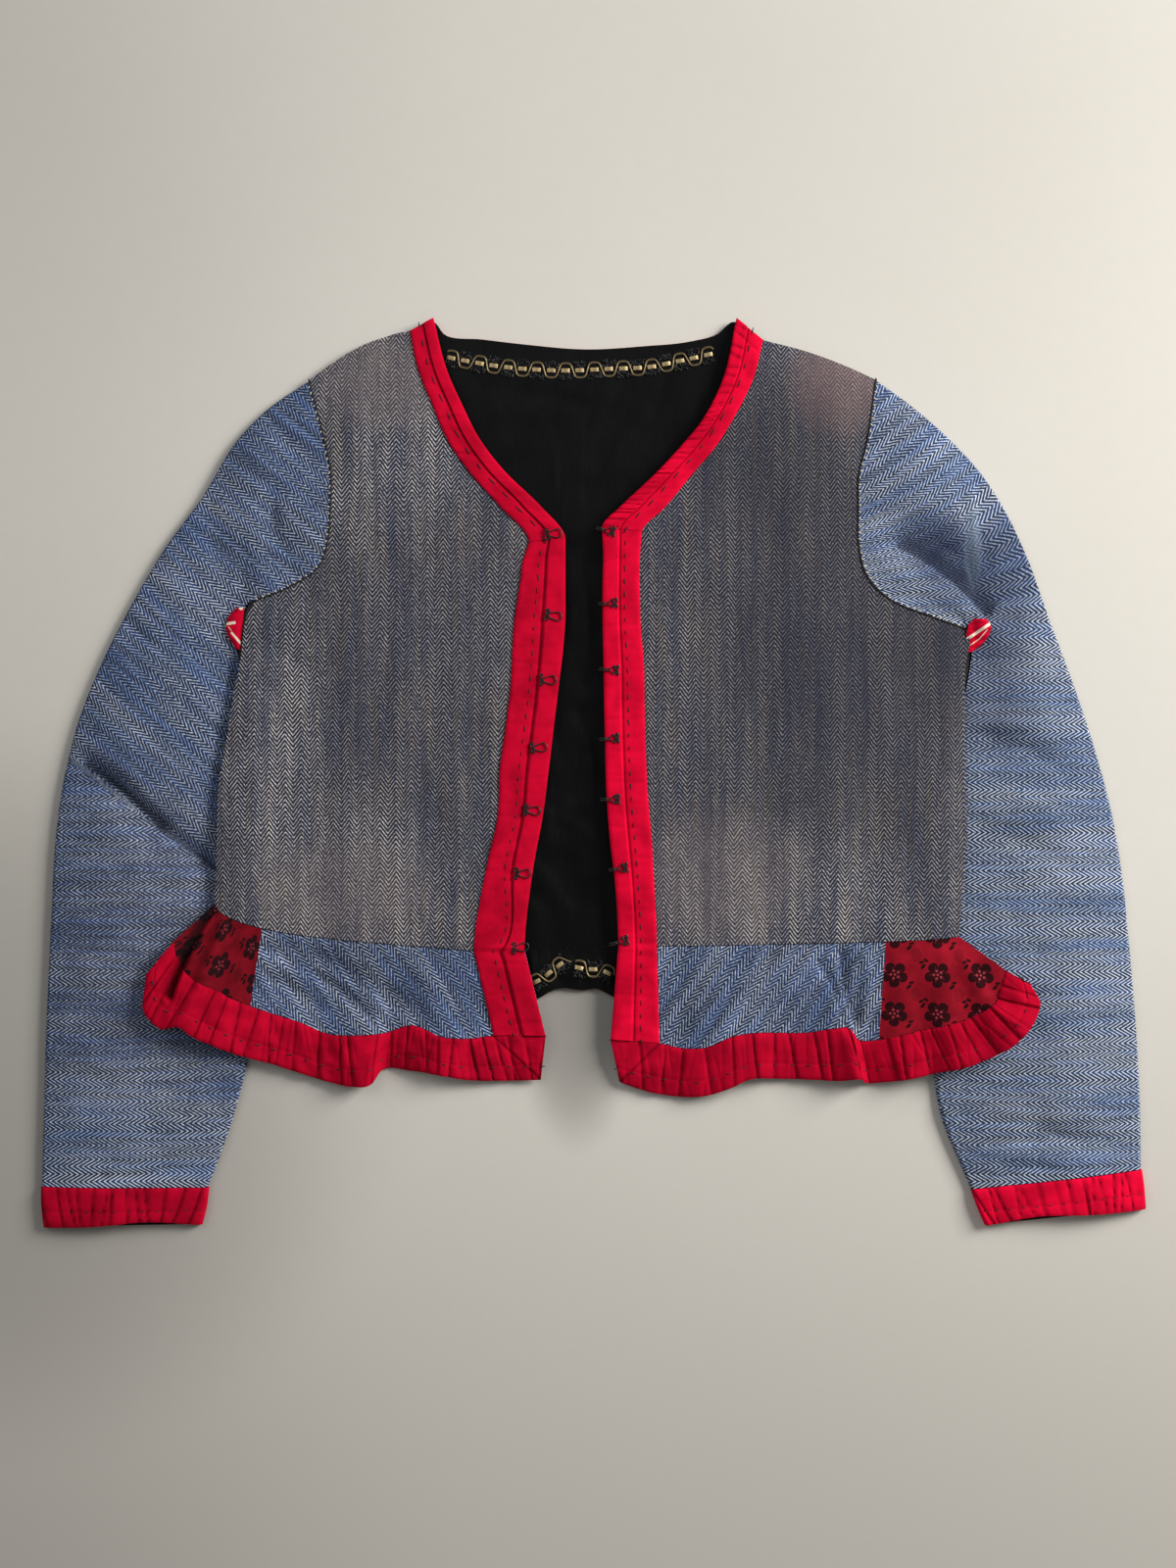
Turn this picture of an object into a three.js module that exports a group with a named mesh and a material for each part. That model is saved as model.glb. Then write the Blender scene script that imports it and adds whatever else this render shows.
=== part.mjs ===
// A short lined jacket with long sleeves and a flared skirt, laid flat with its fronts open.
// Millimetres. +X is the wearer's left as it lies, +Y runs to the neck, +Z is up off the table.
import * as THREE from 'three';

// ---- driving dimensions -----------------------------------------------------------------
const CLOTH = 1.6;            // herringbone cotton wall
const LINING = 1.0;           // satin wall
const FACING = 1.2;           // red cotton laid over the front and neck edges
const TUCK = 0.7;             // extra height of a facing where its edge is folded under
const HEM = 2.4;              // facing and cloth together in the hem bands and cuffs
const GAP = 0.3;              // between pieces at a seam
const HOLLOW = 8.5;           // room between the fronts and the back
const LAYERS = CLOTH + GAP + LINING + GAP;      // what lies under a front where they touch
const FOLD_HEIGHT = CLOTH + LAYERS;             // height of a sleeve at its folded edges
const SLEEVE_RISE = 8.5;      // how much higher a sleeve stands between its folded edges
const REST_RAMP = 45;         // length over which the back climbs on to a sleeve
const OVER_CLEARANCE = 0.9;   // between a sleeve and what lies on it
const EDGE_ROLL = 1.4;        // how far a sleeve's fold bulges past its edge
const GATHER = 0.9;           // height of the gathers in a hem band
const WIRE = 0.45;            // radius of the hook and eye wire
const LEFT = -1;
const RIGHT = 1;

const COLOURS = {
  body: 0x4b4d5c, sleeve: 0x3f5f93, skirt: 0x48648f, facing: 0xb01030, floral: 0x9c1828,
  satin: 0x0b0b0d, braid: 0x8a7448, hook: 0x1c1a19, gusset: 0xa03038,
};

// ---- tables -----------------------------------------------------------------------------
// A front, row by row from the waist seam to the shoulder seam. side is on the side seam or
// the armhole, facing is the outer edge of the red facing, edge is the opening or neckline.
const FRONT_LEFT = [
  { side: [-254, -88], facing: [-80, -120], edge: [-46, -119.2] },
  { side: [-253, -58], facing: [-71, -61], edge: [-39.6, -61] },
  { side: [-252.5, -34], facing: [-64, -29], edge: [-33.7, -29] },
  { side: [-251, -4.6], facing: [-62.7, 2], edge: [-29.7, 2] },
  { side: [-246, 24], facing: [-58.7, 30], edge: [-26.4, 30] },
  { side: [-242, 51.5], facing: [-55.4, 58], edge: [-23, 58] },
  { side: [-237, 79], facing: [-54, 86], edge: [-19.8, 86] },
  { side: [-233.6, 103.6], facing: [-52.8, 103], edge: [-18.5, 105.6] },
  { side: [-226.4, 116], facing: [-50.8, 116], edge: [-18.5, 120] },
  { side: [-204.6, 124.7], facing: [-48.8, 129], edge: [-18.5, 134] },
  { side: [-184, 139], facing: [-47.5, 141], edge: [-18.5, 146.5] },
  { side: [-178.5, 155], facing: [-43, 155], edge: [-18.5, 158.4] },
  { side: [-176.5, 179], facing: [-62.7, 179], edge: [-35, 179] },
  { side: [-176.6, 203], facing: [-84.2, 203.3], edge: [-60, 203.3] },
  { side: [-181, 225], facing: [-98.7, 225], edge: [-77, 225.7] },
  { side: [-185.7, 243], facing: [-107.6, 246], edge: [-87.8, 247] },
  { side: [-189, 254.8], facing: [-117.5, 270.6], edge: [-98.7, 272] },
  { side: [-192, 264.7], facing: [-123.6, 298.3], edge: [-107.7, 307] },
];
const FRONT_RIGHT = [
  { side: [246, -110], facing: [43, -117], edge: [17, -117.6] },
  { side: [249, -74], facing: [41, -71], edge: [14.5, -71] },
  { side: [251.5, -47.5], facing: [39.6, -46], edge: [11.5, -46] },
  { side: [251, -18], facing: [37, -16], edge: [9.2, -16] },
  { side: [250.8, 12], facing: [35.6, 13], edge: [8.3, 13] },
  { side: [250.5, 39.6], facing: [34.8, 41.6], edge: [7.6, 41.6] },
  { side: [250.8, 69], facing: [34.3, 72], edge: [7.1, 72] },
  { side: [250.5, 97], facing: [32, 101], edge: [6.5, 103] },
  { side: [224.4, 106], facing: [31.7, 116], edge: [6.3, 117.5] },
  { side: [197.3, 118], facing: [31.4, 130.7], edge: [6.6, 132] },
  { side: [184, 132.7], facing: [31.7, 146.5], edge: [6.9, 147] },
  { side: [178.9, 151.8], facing: [33, 162.4], edge: [5.9, 164.7] },
  { side: [178.6, 176.9], facing: [48.2, 178], edge: [18.5, 178.9] },
  { side: [179.3, 202], facing: [68, 202], edge: [42.9, 202] },
  { side: [184, 219.8], facing: [82.5, 219], edge: [58.7, 219] },
  { side: [187.4, 239.6], facing: [95.7, 240], edge: [75.2, 239.6] },
  { side: [189.4, 254], facing: [107.6, 264], edge: [88.4, 267.3] },
  { side: [191.4, 265.3], facing: [114.8, 291.7], edge: [97, 306.9] },
];
const NECK_CORNER = 11;       // the row where the front facing meets the neck facing

// Skirt sections from the opening round to the side. waist is the place on the waist seam,
// hem the upper edge of the hem band, low its lower edge, and lift how high the edge waves.
const SKIRT_LEFT = [
  { waist: -46, hem: [-32, -177.5], low: [-35, -208], lift: 3 },
  { waist: -80, hem: [-67, -177.5], low: [-60, -208.6], lift: 2 },
  { waist: -97, hem: [-84, -179.5], low: [-82.5, -208], lift: 5 },
  { waist: -112, hem: [-102, -178], low: [-102, -204.6], lift: 9 },
  { waist: -127, hem: [-122, -170.5], low: [-122, -201.7], lift: 4 },
  { waist: -140, hem: [-139, -175.5], low: [-142.6, -201.5], lift: 1 },
  { waist: -150, hem: [-147, -176.5], low: [-148.7, -210], lift: 8 },
  { waist: -163, hem: [-165, -177.3], low: [-163.4, -212], lift: 7 },
  { waist: -178, hem: [-180, -176], low: [-179.5, -209], lift: 3 },
  { waist: -193, hem: [-196, -169], low: [-198.7, -203], lift: 4 },
  { waist: -208, hem: [-212, -163.6], low: [-216, -197.3], lift: 3 },
  { waist: -222, hem: [-230, -157], low: [-239, -190], lift: 5 },
  { waist: -230, hem: [-243, -151], low: [-254, -183.5], lift: 9 },
  { waist: -238, hem: [-252.8, -145.2], low: [-269, -176.2], lift: 10 },
  { waist: -243, hem: [-262, -141], low: [-277, -170], lift: 12.5 },
  { waist: -247, hem: [-270, -136], low: [-289, -171.6], lift: 8 },
  { waist: -250, hem: [-277, -127], low: [-300, -160], lift: 6 },
  { waist: -254, hem: [-281, -113.5], low: [-299, -136], lift: 5 },
];
const SKIRT_RIGHT = [
  { waist: 17, hem: [12, -180], low: [17.8, -209.5], lift: 3 },
  { waist: 43, hem: [45, -182.8], low: [41.6, -217], lift: 2 },
  { waist: 58, hem: [60, -186], low: [60, -219.5], lift: 2.5 },
  { waist: 72, hem: [77, -185.3], low: [78.5, -218], lift: 6 },
  { waist: 86, hem: [93.5, -178.2], low: [94, -212.3], lift: 9 },
  { waist: 100, hem: [106.3, -175.8], low: [106, -207.3], lift: 7 },
  { waist: 120, hem: [124, -175.6], low: [126.7, -207.2], lift: 3 },
  { waist: 142, hem: [145, -175.4], low: [148, -207.6], lift: 4 },
  { waist: 160, hem: [163, -172.5], low: [166, -208], lift: 8 },
  { waist: 172, hem: [173, -172.5], low: [180, -206.5], lift: 12 },
  { waist: 181, hem: [179, -180], low: [185, -210], lift: 3 },
  { waist: 197, hem: [193, -180.2], low: [199, -209.2], lift: 4 },
  { waist: 209, hem: [207, -177], low: [214, -206.6], lift: 7 },
  { waist: 220, hem: [221, -173.3], low: [231, -202.6], lift: 4 },
  { waist: 229, hem: [237, -169.6], low: [249, -198.3], lift: 8 },
  { waist: 236, hem: [252, -164.8], low: [267, -191.5], lift: 5 },
  { waist: 240, hem: [264, -158], low: [283, -181.5], lift: 9 },
  { waist: 243, hem: [271.5, -149], low: [299, -157], lift: 6 },
  { waist: 246, hem: [276, -132.5], low: [293, -141.5], lift: 5 },
];
const GODET_SEAM = 11;        // the section where the herringbone skirt meets the printed gore
const SKIRT_BACK = [
  { waist: -253, hem: [-278.5, -115], low: [-295, -134] },
  { waist: -246, hem: [-268, -130], low: [-282, -150] },
  { waist: -236, hem: [-256, -140], low: [-264, -162] },
  { waist: -220, hem: [-234, -149], low: [-238, -170] },
  { waist: -195, hem: [-205, -152], low: [-207, -174] },
  { waist: -165, hem: [-172, -154], low: [-173, -176] },
  { waist: -130, hem: [-135, -151], low: [-136, -173] },
  { waist: -95, hem: [-98, -147], low: [-99, -167] },
  { waist: -65, hem: [-66, -140], low: [-67, -159] },
  { waist: -45, hem: [-44, -137], low: [-40, -154.5] },
  { waist: -30, hem: [-28, -133], low: [-24, -146.5] },
  { waist: -12, hem: [-10, -134], low: [-6, -147.5] },
  { waist: 0, hem: [1, -134], low: [2, -146.5] },
  { waist: 14, hem: [15, -138], low: [15, -152.5] },
  { waist: 40, hem: [42, -141], low: [43, -160] },
  { waist: 75, hem: [78, -148], low: [79, -169] },
  { waist: 115, hem: [119, -153], low: [121, -174] },
  { waist: 155, hem: [160, -154], low: [163, -176] },
  { waist: 195, hem: [205, -152], low: [210, -174] },
  { waist: 225, hem: [240, -146], low: [249, -168] },
  { waist: 238, hem: [262, -138], low: [276, -155] },
  { waist: 245, hem: [272, -132], low: [289, -142] },
];

// The top of the back: cloth is where its cloth ends, neck where the neck facing ends.
const BACK_TOP = [
  { x: -192, cloth: 264.7, neck: 264.7 }, { x: -173, cloth: 278.3, neck: 278.3 },
  { x: -154, cloth: 288.5, neck: 288.5 }, { x: -123.6, cloth: 298, neck: 298 },
  { x: -108, cloth: 290, neck: 305 }, { x: -100, cloth: 281, neck: 296 },
  { x: -75, cloth: 278, neck: 293 }, { x: -45, cloth: 274.5, neck: 289.5 },
  { x: -5, cloth: 271.3, neck: 286.3 }, { x: 35, cloth: 273.5, neck: 288.5 },
  { x: 65, cloth: 276.5, neck: 291.5 }, { x: 84, cloth: 281.5, neck: 296.5 },
  { x: 95, cloth: 290, neck: 305 }, { x: 114.8, cloth: 291.7, neck: 291.7 },
  { x: 135, cloth: 287, neck: 287 }, { x: 155, cloth: 281, neck: 281 },
  { x: 173, cloth: 274, neck: 274 }, { x: 191.4, cloth: 265.3, neck: 265.3 },
];
const NECK_COLUMNS = [4, 12];   // the columns of BACK_TOP that the neck facing spans

// Sleeve sections below the armhole: the ends of each across the laid-flat tube.
const SLEEVE_LEFT = [
  { outer: [-216.5, 248], inner: [-234, 113.5] },
  { outer: [-241, 223], inner: [-238.5, 97] },
  { outer: [-264, 185], inner: [-240, 80] },
  { outer: [-289, 150.5], inner: [-233.5, 58] },
  { outer: [-313, 109.5], inner: [-229, 32] },
  { outer: [-331, 74], inner: [-226.5, 5] },
  { outer: [-346.5, 35.5], inner: [-224.5, -18] },
  { outer: [-357, -6], inner: [-223.7, -41] },
  { outer: [-362.5, -46], inner: [-223, -67] },
  { outer: [-365, -90.5], inner: [-223.7, -97] },
  { outer: [-367, -133.5], inner: [-225.7, -130] },
  { outer: [-369, -179.5], inner: [-230.5, -170] },
  { outer: [-370, -219], inner: [-239, -212.5] },
  { outer: [-371, -252], inner: [-250, -249] },
  { outer: [-371.5, -280], inner: [-262, -280.5] },
];
const SLEEVE_RIGHT = [
  { outer: [213, 249.5], inner: [254.8, 98] },
  { outer: [238, 227.5], inner: [256.5, 86] },
  { outer: [260.5, 203.5], inner: [255.5, 70] },
  { outer: [279, 175], inner: [250.5, 48] },
  { outer: [293.5, 144], inner: [244.3, 28.5] },
  { outer: [308, 103], inner: [239.6, 2] },
  { outer: [324.5, 58], inner: [236.3, -21] },
  { outer: [338.5, 15], inner: [233, -44] },
  { outer: [349.8, -27.7], inner: [231, -67] },
  { outer: [357, -70.6], inner: [229.7, -94] },
  { outer: [361, -110], inner: [229, -123.5] },
  { outer: [364.3, -146.5], inner: [229, -160] },
  { outer: [367, -183], inner: [231.5, -196] },
  { outer: [369, -226], inner: [237, -232.5] },
  { outer: [369.5, -268.5], inner: [257.2, -281.5] },
];
const CUFF_LEFT = [
  { outer: [-372.3, -280.4], inner: [-261, -280.9] },
  { outer: [-372, -294], inner: [-262.5, -293.5] },
  { outer: [-370.5, -307.8], inner: [-265.5, -306] },
];
const CUFF_RIGHT = [
  { outer: [370.3, -269], inner: [257, -282] },
  { outer: [372, -282], inner: [261.5, -294.5] },
  { outer: [373, -295.5], inner: [266.5, -306.3] },
];

// The patch at each underarm, from the neck end down: near lies beside the side seam.
const GUSSET_LEFT = [
  { y: 111, near: -235, far: -240 }, { y: 106, near: -235.6, far: -245 },
  { y: 98, near: -236.4, far: -247.5 }, { y: 90, near: -237, far: -245 },
  { y: 83, near: -237.6, far: -240.5 },
];
const GUSSET_RIGHT = [
  { y: 103, near: 256, far: 265 }, { y: 98, near: 252.5, far: 268 },
  { y: 92, near: 251.7, far: 266.5 }, { y: 86, near: 251.7, far: 262 },
  { y: 81, near: 251.7, far: 255.5 },
];

// Soft troughs (depth above 0) and ridges (below 0) in the upper side of a sleeve.
const SLEEVE_FOLDS = [
  { from: [-341, 3], to: [-300, -36], depth: 4, width: 11 },
  { from: [-300, -36], to: [-258, -58], depth: 3, width: 12 },
  { from: [-348, 18], to: [-318, 6], depth: -2, width: 12 },
  { from: [-214, 168], to: [-196, 140], depth: 4, width: 12 },
  { from: [-330, -262], to: [-268, -262], depth: 2, width: 9 },
  { from: [200, 158], to: [236, 140], depth: 5, width: 16 },
  { from: [188, 140], to: [262, 108], depth: -3, width: 12 },
  { from: [256, 192], to: [257, 122], depth: -3, width: 11 },
  { from: [268, 16], to: [330, -8], depth: 3, width: 14 },
  { from: [262, -52], to: [345, -40], depth: 3, width: 14 },
  { from: [300, -250], to: [368, -245], depth: 2.5, width: 9 },
];

const EYES = [
  { at: [-26.4, 160.4], turn: 6 }, { at: [-26.4, 105.2], turn: -10 }, { at: [-30, 62], turn: 0 },
  { at: [-36.1, 16.6], turn: 4 }, { at: [-40.6, -25.7], turn: -6 }, { at: [-46.9, -68], turn: 0 },
  { at: [-48.6, -117.7], turn: 8 },
];
const HOOKS = [
  { at: [9.2, 162.5], turn: -12 }, { at: [10.9, 113.5], turn: 4 }, { at: [11.7, 68.9], turn: -3 },
  { at: [11.7, 22.6], turn: 5 }, { at: [12.4, -18.3], turn: 0 }, { at: [17.8, -64.7], turn: 8 },
  { at: [18.2, -114], turn: 14 },
];
const NECK_BRAID = [
  [-99, 281], [-81.4, 277.5], [-66, 275], [-51, 273.2], [-36, 272.2], [-20.8, 271.6], [-6, 271.9],
  [7.8, 272.6], [23, 273.2], [38.1, 274.1], [54.8, 277.5], [69, 280.5], [82, 283.5],
];
const HEM_BRAID_LEFT = [[-41, -143], [-33, -138.5], [-27, -133.5], [-21.5, -129.5], [-17.5, -125]];
const HEM_BRAID_RIGHT = [[-12.5, -131.5], [-4.3, -133], [4.6, -133.5], [14, -137.5]];

// ---- small maths ------------------------------------------------------------------------
const mix = (a, b, t) => a + (b - a) * t;
const mixPoint = (a, b, t) => [mix(a[0], b[0], t), mix(a[1], b[1], t)];
const clamp01 = (t) => Math.min(1, Math.max(0, t));
const smooth = (t) => clamp01(t) ** 2 * (3 - 2 * clamp01(t));
const distance = (a, b) => Math.hypot(a[0] - b[0], a[1] - b[1]);

/** The value at `key` on a straight-line table of [key, value] pairs, held level past its ends. */
function readTable(table, key) {
  const sorted = [...table].sort((a, b) => a[0] - b[0]);
  const next = sorted.findIndex((pair) => pair[0] >= key);
  if (next === 0) return sorted[0][1];
  if (next < 0) return sorted[sorted.length - 1][1];
  const [a, b] = [sorted[next - 1], sorted[next]];
  return mix(a[1], b[1], (key - a[0]) / (b[0] - a[0]));
}

/** A line of plan points moved sideways, to the left of its direction of travel. */
function offsetLine(points, amount) {
  return points.map((point, i) => {
    const before = points[Math.max(0, i - 1)];
    const after = points[Math.min(points.length - 1, i + 1)];
    const length = distance(before, after);
    const normal = [-(after[1] - before[1]) / length, (after[0] - before[0]) / length];
    return [point[0] + normal[0] * amount, point[1] + normal[1] * amount];
  });
}

/** How far a row of folds lowers the cloth at a plan point. */
function foldDepth(folds, [x, y]) {
  return folds.reduce((total, { from, to, depth, width }) => {
    const run = [to[0] - from[0], to[1] - from[1]];
    const t = clamp01(((x - from[0]) * run[0] + (y - from[1]) * run[1])
      / (run[0] ** 2 + run[1] ** 2));
    const away = distance([x, y], mixPoint(from, to, t));
    return total + depth * Math.exp(-((away / width) ** 2));
  }, 0);
}

// ---- meshes -----------------------------------------------------------------------------
/** A closed mesh of shared points, turned so that its faces look outwards. */
function solid(points, triangles) {
  const volume = triangles.reduce((sum, [a, b, c]) => {
    const [p, q, r] = [points[a], points[b], points[c]];
    return sum + p[0] * (q[1] * r[2] - q[2] * r[1]) - p[1] * (q[0] * r[2] - q[2] * r[0])
      + p[2] * (q[0] * r[1] - q[1] * r[0]);
  }, 0);
  const facing = volume < 0 ? triangles.map(([a, b, c]) => [a, c, b]) : triangles;
  const geometry = new THREE.BufferGeometry();
  geometry.setAttribute('position', new THREE.Float32BufferAttribute(points.flat(), 3));
  geometry.setIndex(facing.flat());
  geometry.computeVertexNormals();
  return geometry;
}

const quad = (a, b, c, d) => [[a, b, c], [a, c, d]];

/** A wall of cloth between an upper and a lower grid of points. */
function wall(upper, lower) {
  const rows = upper.length;
  const columns = upper[0].length;
  const top = (i, j) => i * columns + j;
  const under = (i, j) => rows * columns + top(i, j);
  const triangles = [];
  for (let i = 0; i + 1 < rows; i += 1) {
    for (let j = 0; j + 1 < columns; j += 1) {
      triangles.push(...quad(top(i, j), top(i, j + 1), top(i + 1, j + 1), top(i + 1, j)));
      triangles.push(...quad(under(i, j), under(i + 1, j), under(i + 1, j + 1), under(i, j + 1)));
    }
    const last = columns - 1;
    triangles.push(...quad(top(i, 0), top(i + 1, 0), under(i + 1, 0), under(i, 0)));
    triangles.push(...quad(top(i, last), under(i, last), under(i + 1, last), top(i + 1, last)));
  }
  for (let j = 0; j + 1 < columns; j += 1) {
    const last = rows - 1;
    triangles.push(...quad(top(0, j), under(0, j), under(0, j + 1), top(0, j + 1)));
    triangles.push(...quad(top(last, j), top(last, j + 1), under(last, j + 1), under(last, j)));
  }
  return solid([...upper.flat(), ...lower.flat()], triangles);
}

/** A wall from plan points: below gives its underside, thickness its depth at (row, column). */
function sheet(plan, below, thickness) {
  const thick = typeof thickness === 'function' ? thickness : () => thickness;
  const lower = plan.map((row, i) => row.map((point, j) => [...point, below(point, i, j)]));
  const upper = lower.map((row, i) => row.map(([x, y, z], j) => [x, y, z + thick(i, j)]));
  return wall(upper, lower);
}

/** A tube of cloth between outer and inner closed rings, open at both ends. */
function sleeveTube(outerRings, innerRings) {
  const count = outerRings[0].length;
  const rings = outerRings.length;
  const outer = (k, j) => k * count + (j % count);
  const inner = (k, j) => rings * count + outer(k, j);
  const triangles = [];
  for (let j = 0; j < count; j += 1) {
    for (let k = 0; k + 1 < rings; k += 1) {
      triangles.push(...quad(outer(k, j), outer(k, j + 1), outer(k + 1, j + 1), outer(k + 1, j)));
      triangles.push(...quad(inner(k, j), inner(k + 1, j), inner(k + 1, j + 1), inner(k, j + 1)));
    }
    const end = rings - 1;
    triangles.push(...quad(outer(0, j), inner(0, j), inner(0, j + 1), outer(0, j + 1)));
    triangles.push(...quad(outer(end, j), outer(end, j + 1), inner(end, j + 1), inner(end, j)));
  }
  return solid([...outerRings.flat(), ...innerRings.flat()], triangles);
}

/** A bent wire of square-ish section along a path, its frame carried without twist. */
function wire(path, radius, sides = 4) {
  const points = path.map((p) => new THREE.Vector3(...p));
  let side = new THREE.Vector3(0, 0, 1);
  const rings = points.map((point, i) => {
    const before = points[Math.max(0, i - 1)];
    const after = points[Math.min(points.length - 1, i + 1)];
    const along = after.clone().sub(before).normalize();
    side = side.clone().addScaledVector(along, -side.dot(along)).normalize();
    const across = along.clone().cross(side);
    return Array.from({ length: sides }, (_, s) => {
      const angle = (2 * Math.PI * (s + 0.5)) / sides;
      return point.clone().addScaledVector(side, radius * Math.cos(angle))
        .addScaledVector(across, radius * Math.sin(angle)).toArray();
    });
  });
  const at = (k, s) => k * sides + (s % sides);
  const triangles = [];
  for (let k = 0; k + 1 < rings.length; k += 1) {
    for (let s = 0; s < sides; s += 1) {
      triangles.push(...quad(at(k, s), at(k, s + 1), at(k + 1, s + 1), at(k + 1, s)));
    }
  }
  for (let s = 1; s + 1 < sides; s += 1) {
    const end = rings.length - 1;
    triangles.push([at(0, 0), at(0, s + 1), at(0, s)], [at(end, 0), at(end, s), at(end, s + 1)]);
  }
  return solid(rings.flat(), triangles);
}

// ---- how high the cloth lies ------------------------------------------------------------
const halves = {
  left: { sign: LEFT, front: FRONT_LEFT, skirt: SKIRT_LEFT, sleeve: SLEEVE_LEFT,
    cuff: CUFF_LEFT, gusset: GUSSET_LEFT, underarm: 8, waistSag: 11, shoulderRise: 6 },
  right: { sign: RIGHT, front: FRONT_RIGHT, skirt: SKIRT_RIGHT, sleeve: SLEEVE_RIGHT,
    cuff: CUFF_RIGHT, gusset: GUSSET_RIGHT, underarm: 7, waistSag: 2, shoulderRise: 3 },
};

/** How far a point lies inside the sleeve's inner fold, which passes under the body. */
function insideSleeve(half, [x, y]) {
  const fold = half.sleeve.map(({ inner }) => [inner[1], inner[0]]);
  return half.sign * (x - readTable(fold, y));
}

const innerRise = (inside) => (inside > 0 ? 1 - Math.max(0, 1 - inside / 90) ** 1.6 : 0);

/** The height of what lies on the table or, near the sides, on the sleeve. */
function restHeight(half, point) {
  const inside = insideSleeve(half, point);
  const belowArmhole = smooth((180 - point[1]) / 65);
  const fold = FOLD_HEIGHT + OVER_CLEARANCE;
  if (inside >= 0) return belowArmhole * (fold + SLEEVE_RISE * innerRise(inside));
  return belowArmhole * fold * Math.max(0, 1 + inside / REST_RAMP) ** 1.6;
}

const halfAt = (x) => (x < 0 ? halves.left : halves.right);
const backHeight = (point) => restHeight(halfAt(point[0]), point);

/** The room between a front and the lining: closed at side and shoulder, low at the opening. */
function hollow(half, [x, y]) {
  const { sign, front, underarm } = half;
  const sides = front.slice(0, underarm + 1).map(({ side }) => [side[1], side[0]]);
  const edges = front.map(({ edge }) => [edge[1], edge[0]]);
  const top = front[front.length - 1];
  const slope = (top.edge[1] - top.side[1]) / (top.edge[0] - top.side[0]);
  const belowShoulder = (top.side[1] + slope * (x - top.side[0]) - y) * 0.9;
  const fromSide = sign * (readTable(sides, y) - x);
  const fromEdge = sign * (x - readTable(edges, y));
  const closeSide = 1 - Math.exp(-Math.max(0, fromSide) / 20);
  const closeShoulder = 1 - Math.exp(-Math.max(0, belowShoulder) / 18);
  const droop = 0.6 + 0.4 * (1 - Math.exp(-Math.max(0, fromEdge) / 40));
  return HOLLOW * closeSide * closeShoulder * droop;
}

const frontHeight = (half, point) => restHeight(half, point) + LAYERS + hollow(half, point);

// ---- fronts and facings -----------------------------------------------------------------
const BODY_COLUMNS = [0, 0.035, 0.1, 0.2, 0.34, 0.52, 0.76, 1];
const FACING_COLUMNS = [0, 0.52, 0.6, 1];

/** Plan points of a front's cloth, from the side to the facing's edge and on to the opening. */
function frontPlan(half) {
  const last = half.front.length - 1;
  return half.front.map(({ side, facing, edge }, i) => {
    const sag = half.waistSag * Math.max(0, 1 - i * 0.45);
    const rise = i === last ? half.shoulderRise : 0;
    const body = BODY_COLUMNS.map((u) => {
      const [x, y] = mixPoint(side, facing, u);
      const bow = rise * Math.sin(Math.PI * u) - sag * Math.sin(Math.PI * Math.sqrt(u));
      return [x, y + bow];
    });
    return [...body, ...FACING_COLUMNS.slice(1).map((u) => mixPoint(facing, edge, u))];
  });
}

const facingPart = (row) => row.slice(BODY_COLUMNS.length - 1);
const facingThickness = (i, j) => FACING + (j >= 2 ? TUCK : 0);

const frontPanel = (half) => sheet(frontPlan(half), (p) => frontHeight(half, p), CLOTH);

function neckFacing(half) {
  const plan = frontPlan(half).slice(NECK_CORNER).map(facingPart);
  return sheet(plan, (p) => frontHeight(half, p) + CLOTH + GAP, facingThickness);
}

/** The facing along the opening, over the front and the skirt below it. */
function frontFacing(half) {
  const skirtRows = [1, 0.75, 0.5, 0.25, 0].map((t) => {
    const [edge, facing] = half.skirt.slice(0, 2).map((section) => skirtPoint(half, section, t));
    return FACING_COLUMNS.map((u) => [0, 1, 2].map((axis) => mix(facing[axis], edge[axis], u)));
  });
  const frontRows = frontPlan(half).slice(0, NECK_CORNER + 1).map((row, i) => facingPart(row)
    .map(([x, y]) => [x, y - (i === NECK_CORNER ? GAP : 0), frontHeight(half, [x, y])]));
  const rows = [...skirtRows, ...frontRows];
  const lower = rows.map((row) => row.map(([x, y, z]) => [x, y, z + CLOTH + GAP]));
  const upper = lower.map((row, i) => row.map(([x, y, z], j) => [x, y, z + facingThickness(i, j)]));
  return wall(upper, lower);
}

// ---- back and lining --------------------------------------------------------------------
const WAIST = Object.values(halves)
  .flatMap((half) => frontPlan(half)[0].slice(0, BODY_COLUMNS.length));
const waistY = (x) => readTable(WAIST, x);

/** Plan points of the back. top is "cloth" or "neck", the column of BACK_TOP to end at. */
function backPlan(top) {
  const width = BACK_TOP[BACK_TOP.length - 1].x - BACK_TOP[0].x;
  const last = FRONT_LEFT.length - 1;
  return FRONT_LEFT.map((row, i) => BACK_TOP.map((column) => {
    const u = (column.x - BACK_TOP[0].x) / width;
    const [x, y] = mixPoint(row.side, FRONT_RIGHT[i].side, u);
    const level = mix(FRONT_LEFT[last].side[1], FRONT_RIGHT[last].side[1], u);
    const rise = (column[top] - level) * Math.max(0, 1 - (last - i) * 0.3) ** 1.5;
    return [x, i === 0 ? waistY(x) : y + rise];
  }));
}

const backPanel = () => sheet(backPlan('cloth'), backHeight, CLOTH);
const backLining = () => sheet(backPlan('neck'), (p) => backHeight(p) + CLOTH + GAP, LINING);

function backNeckFacing() {
  const [first, end] = NECK_COLUMNS;
  const columns = BACK_TOP.slice(first, end + 1);
  const rows = [0, 1].map((t) => columns.map((c) => [c.x, mix(c.cloth + GAP, c.neck, t)]));
  return sheet(rows, () => 0, CLOTH);
}

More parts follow.
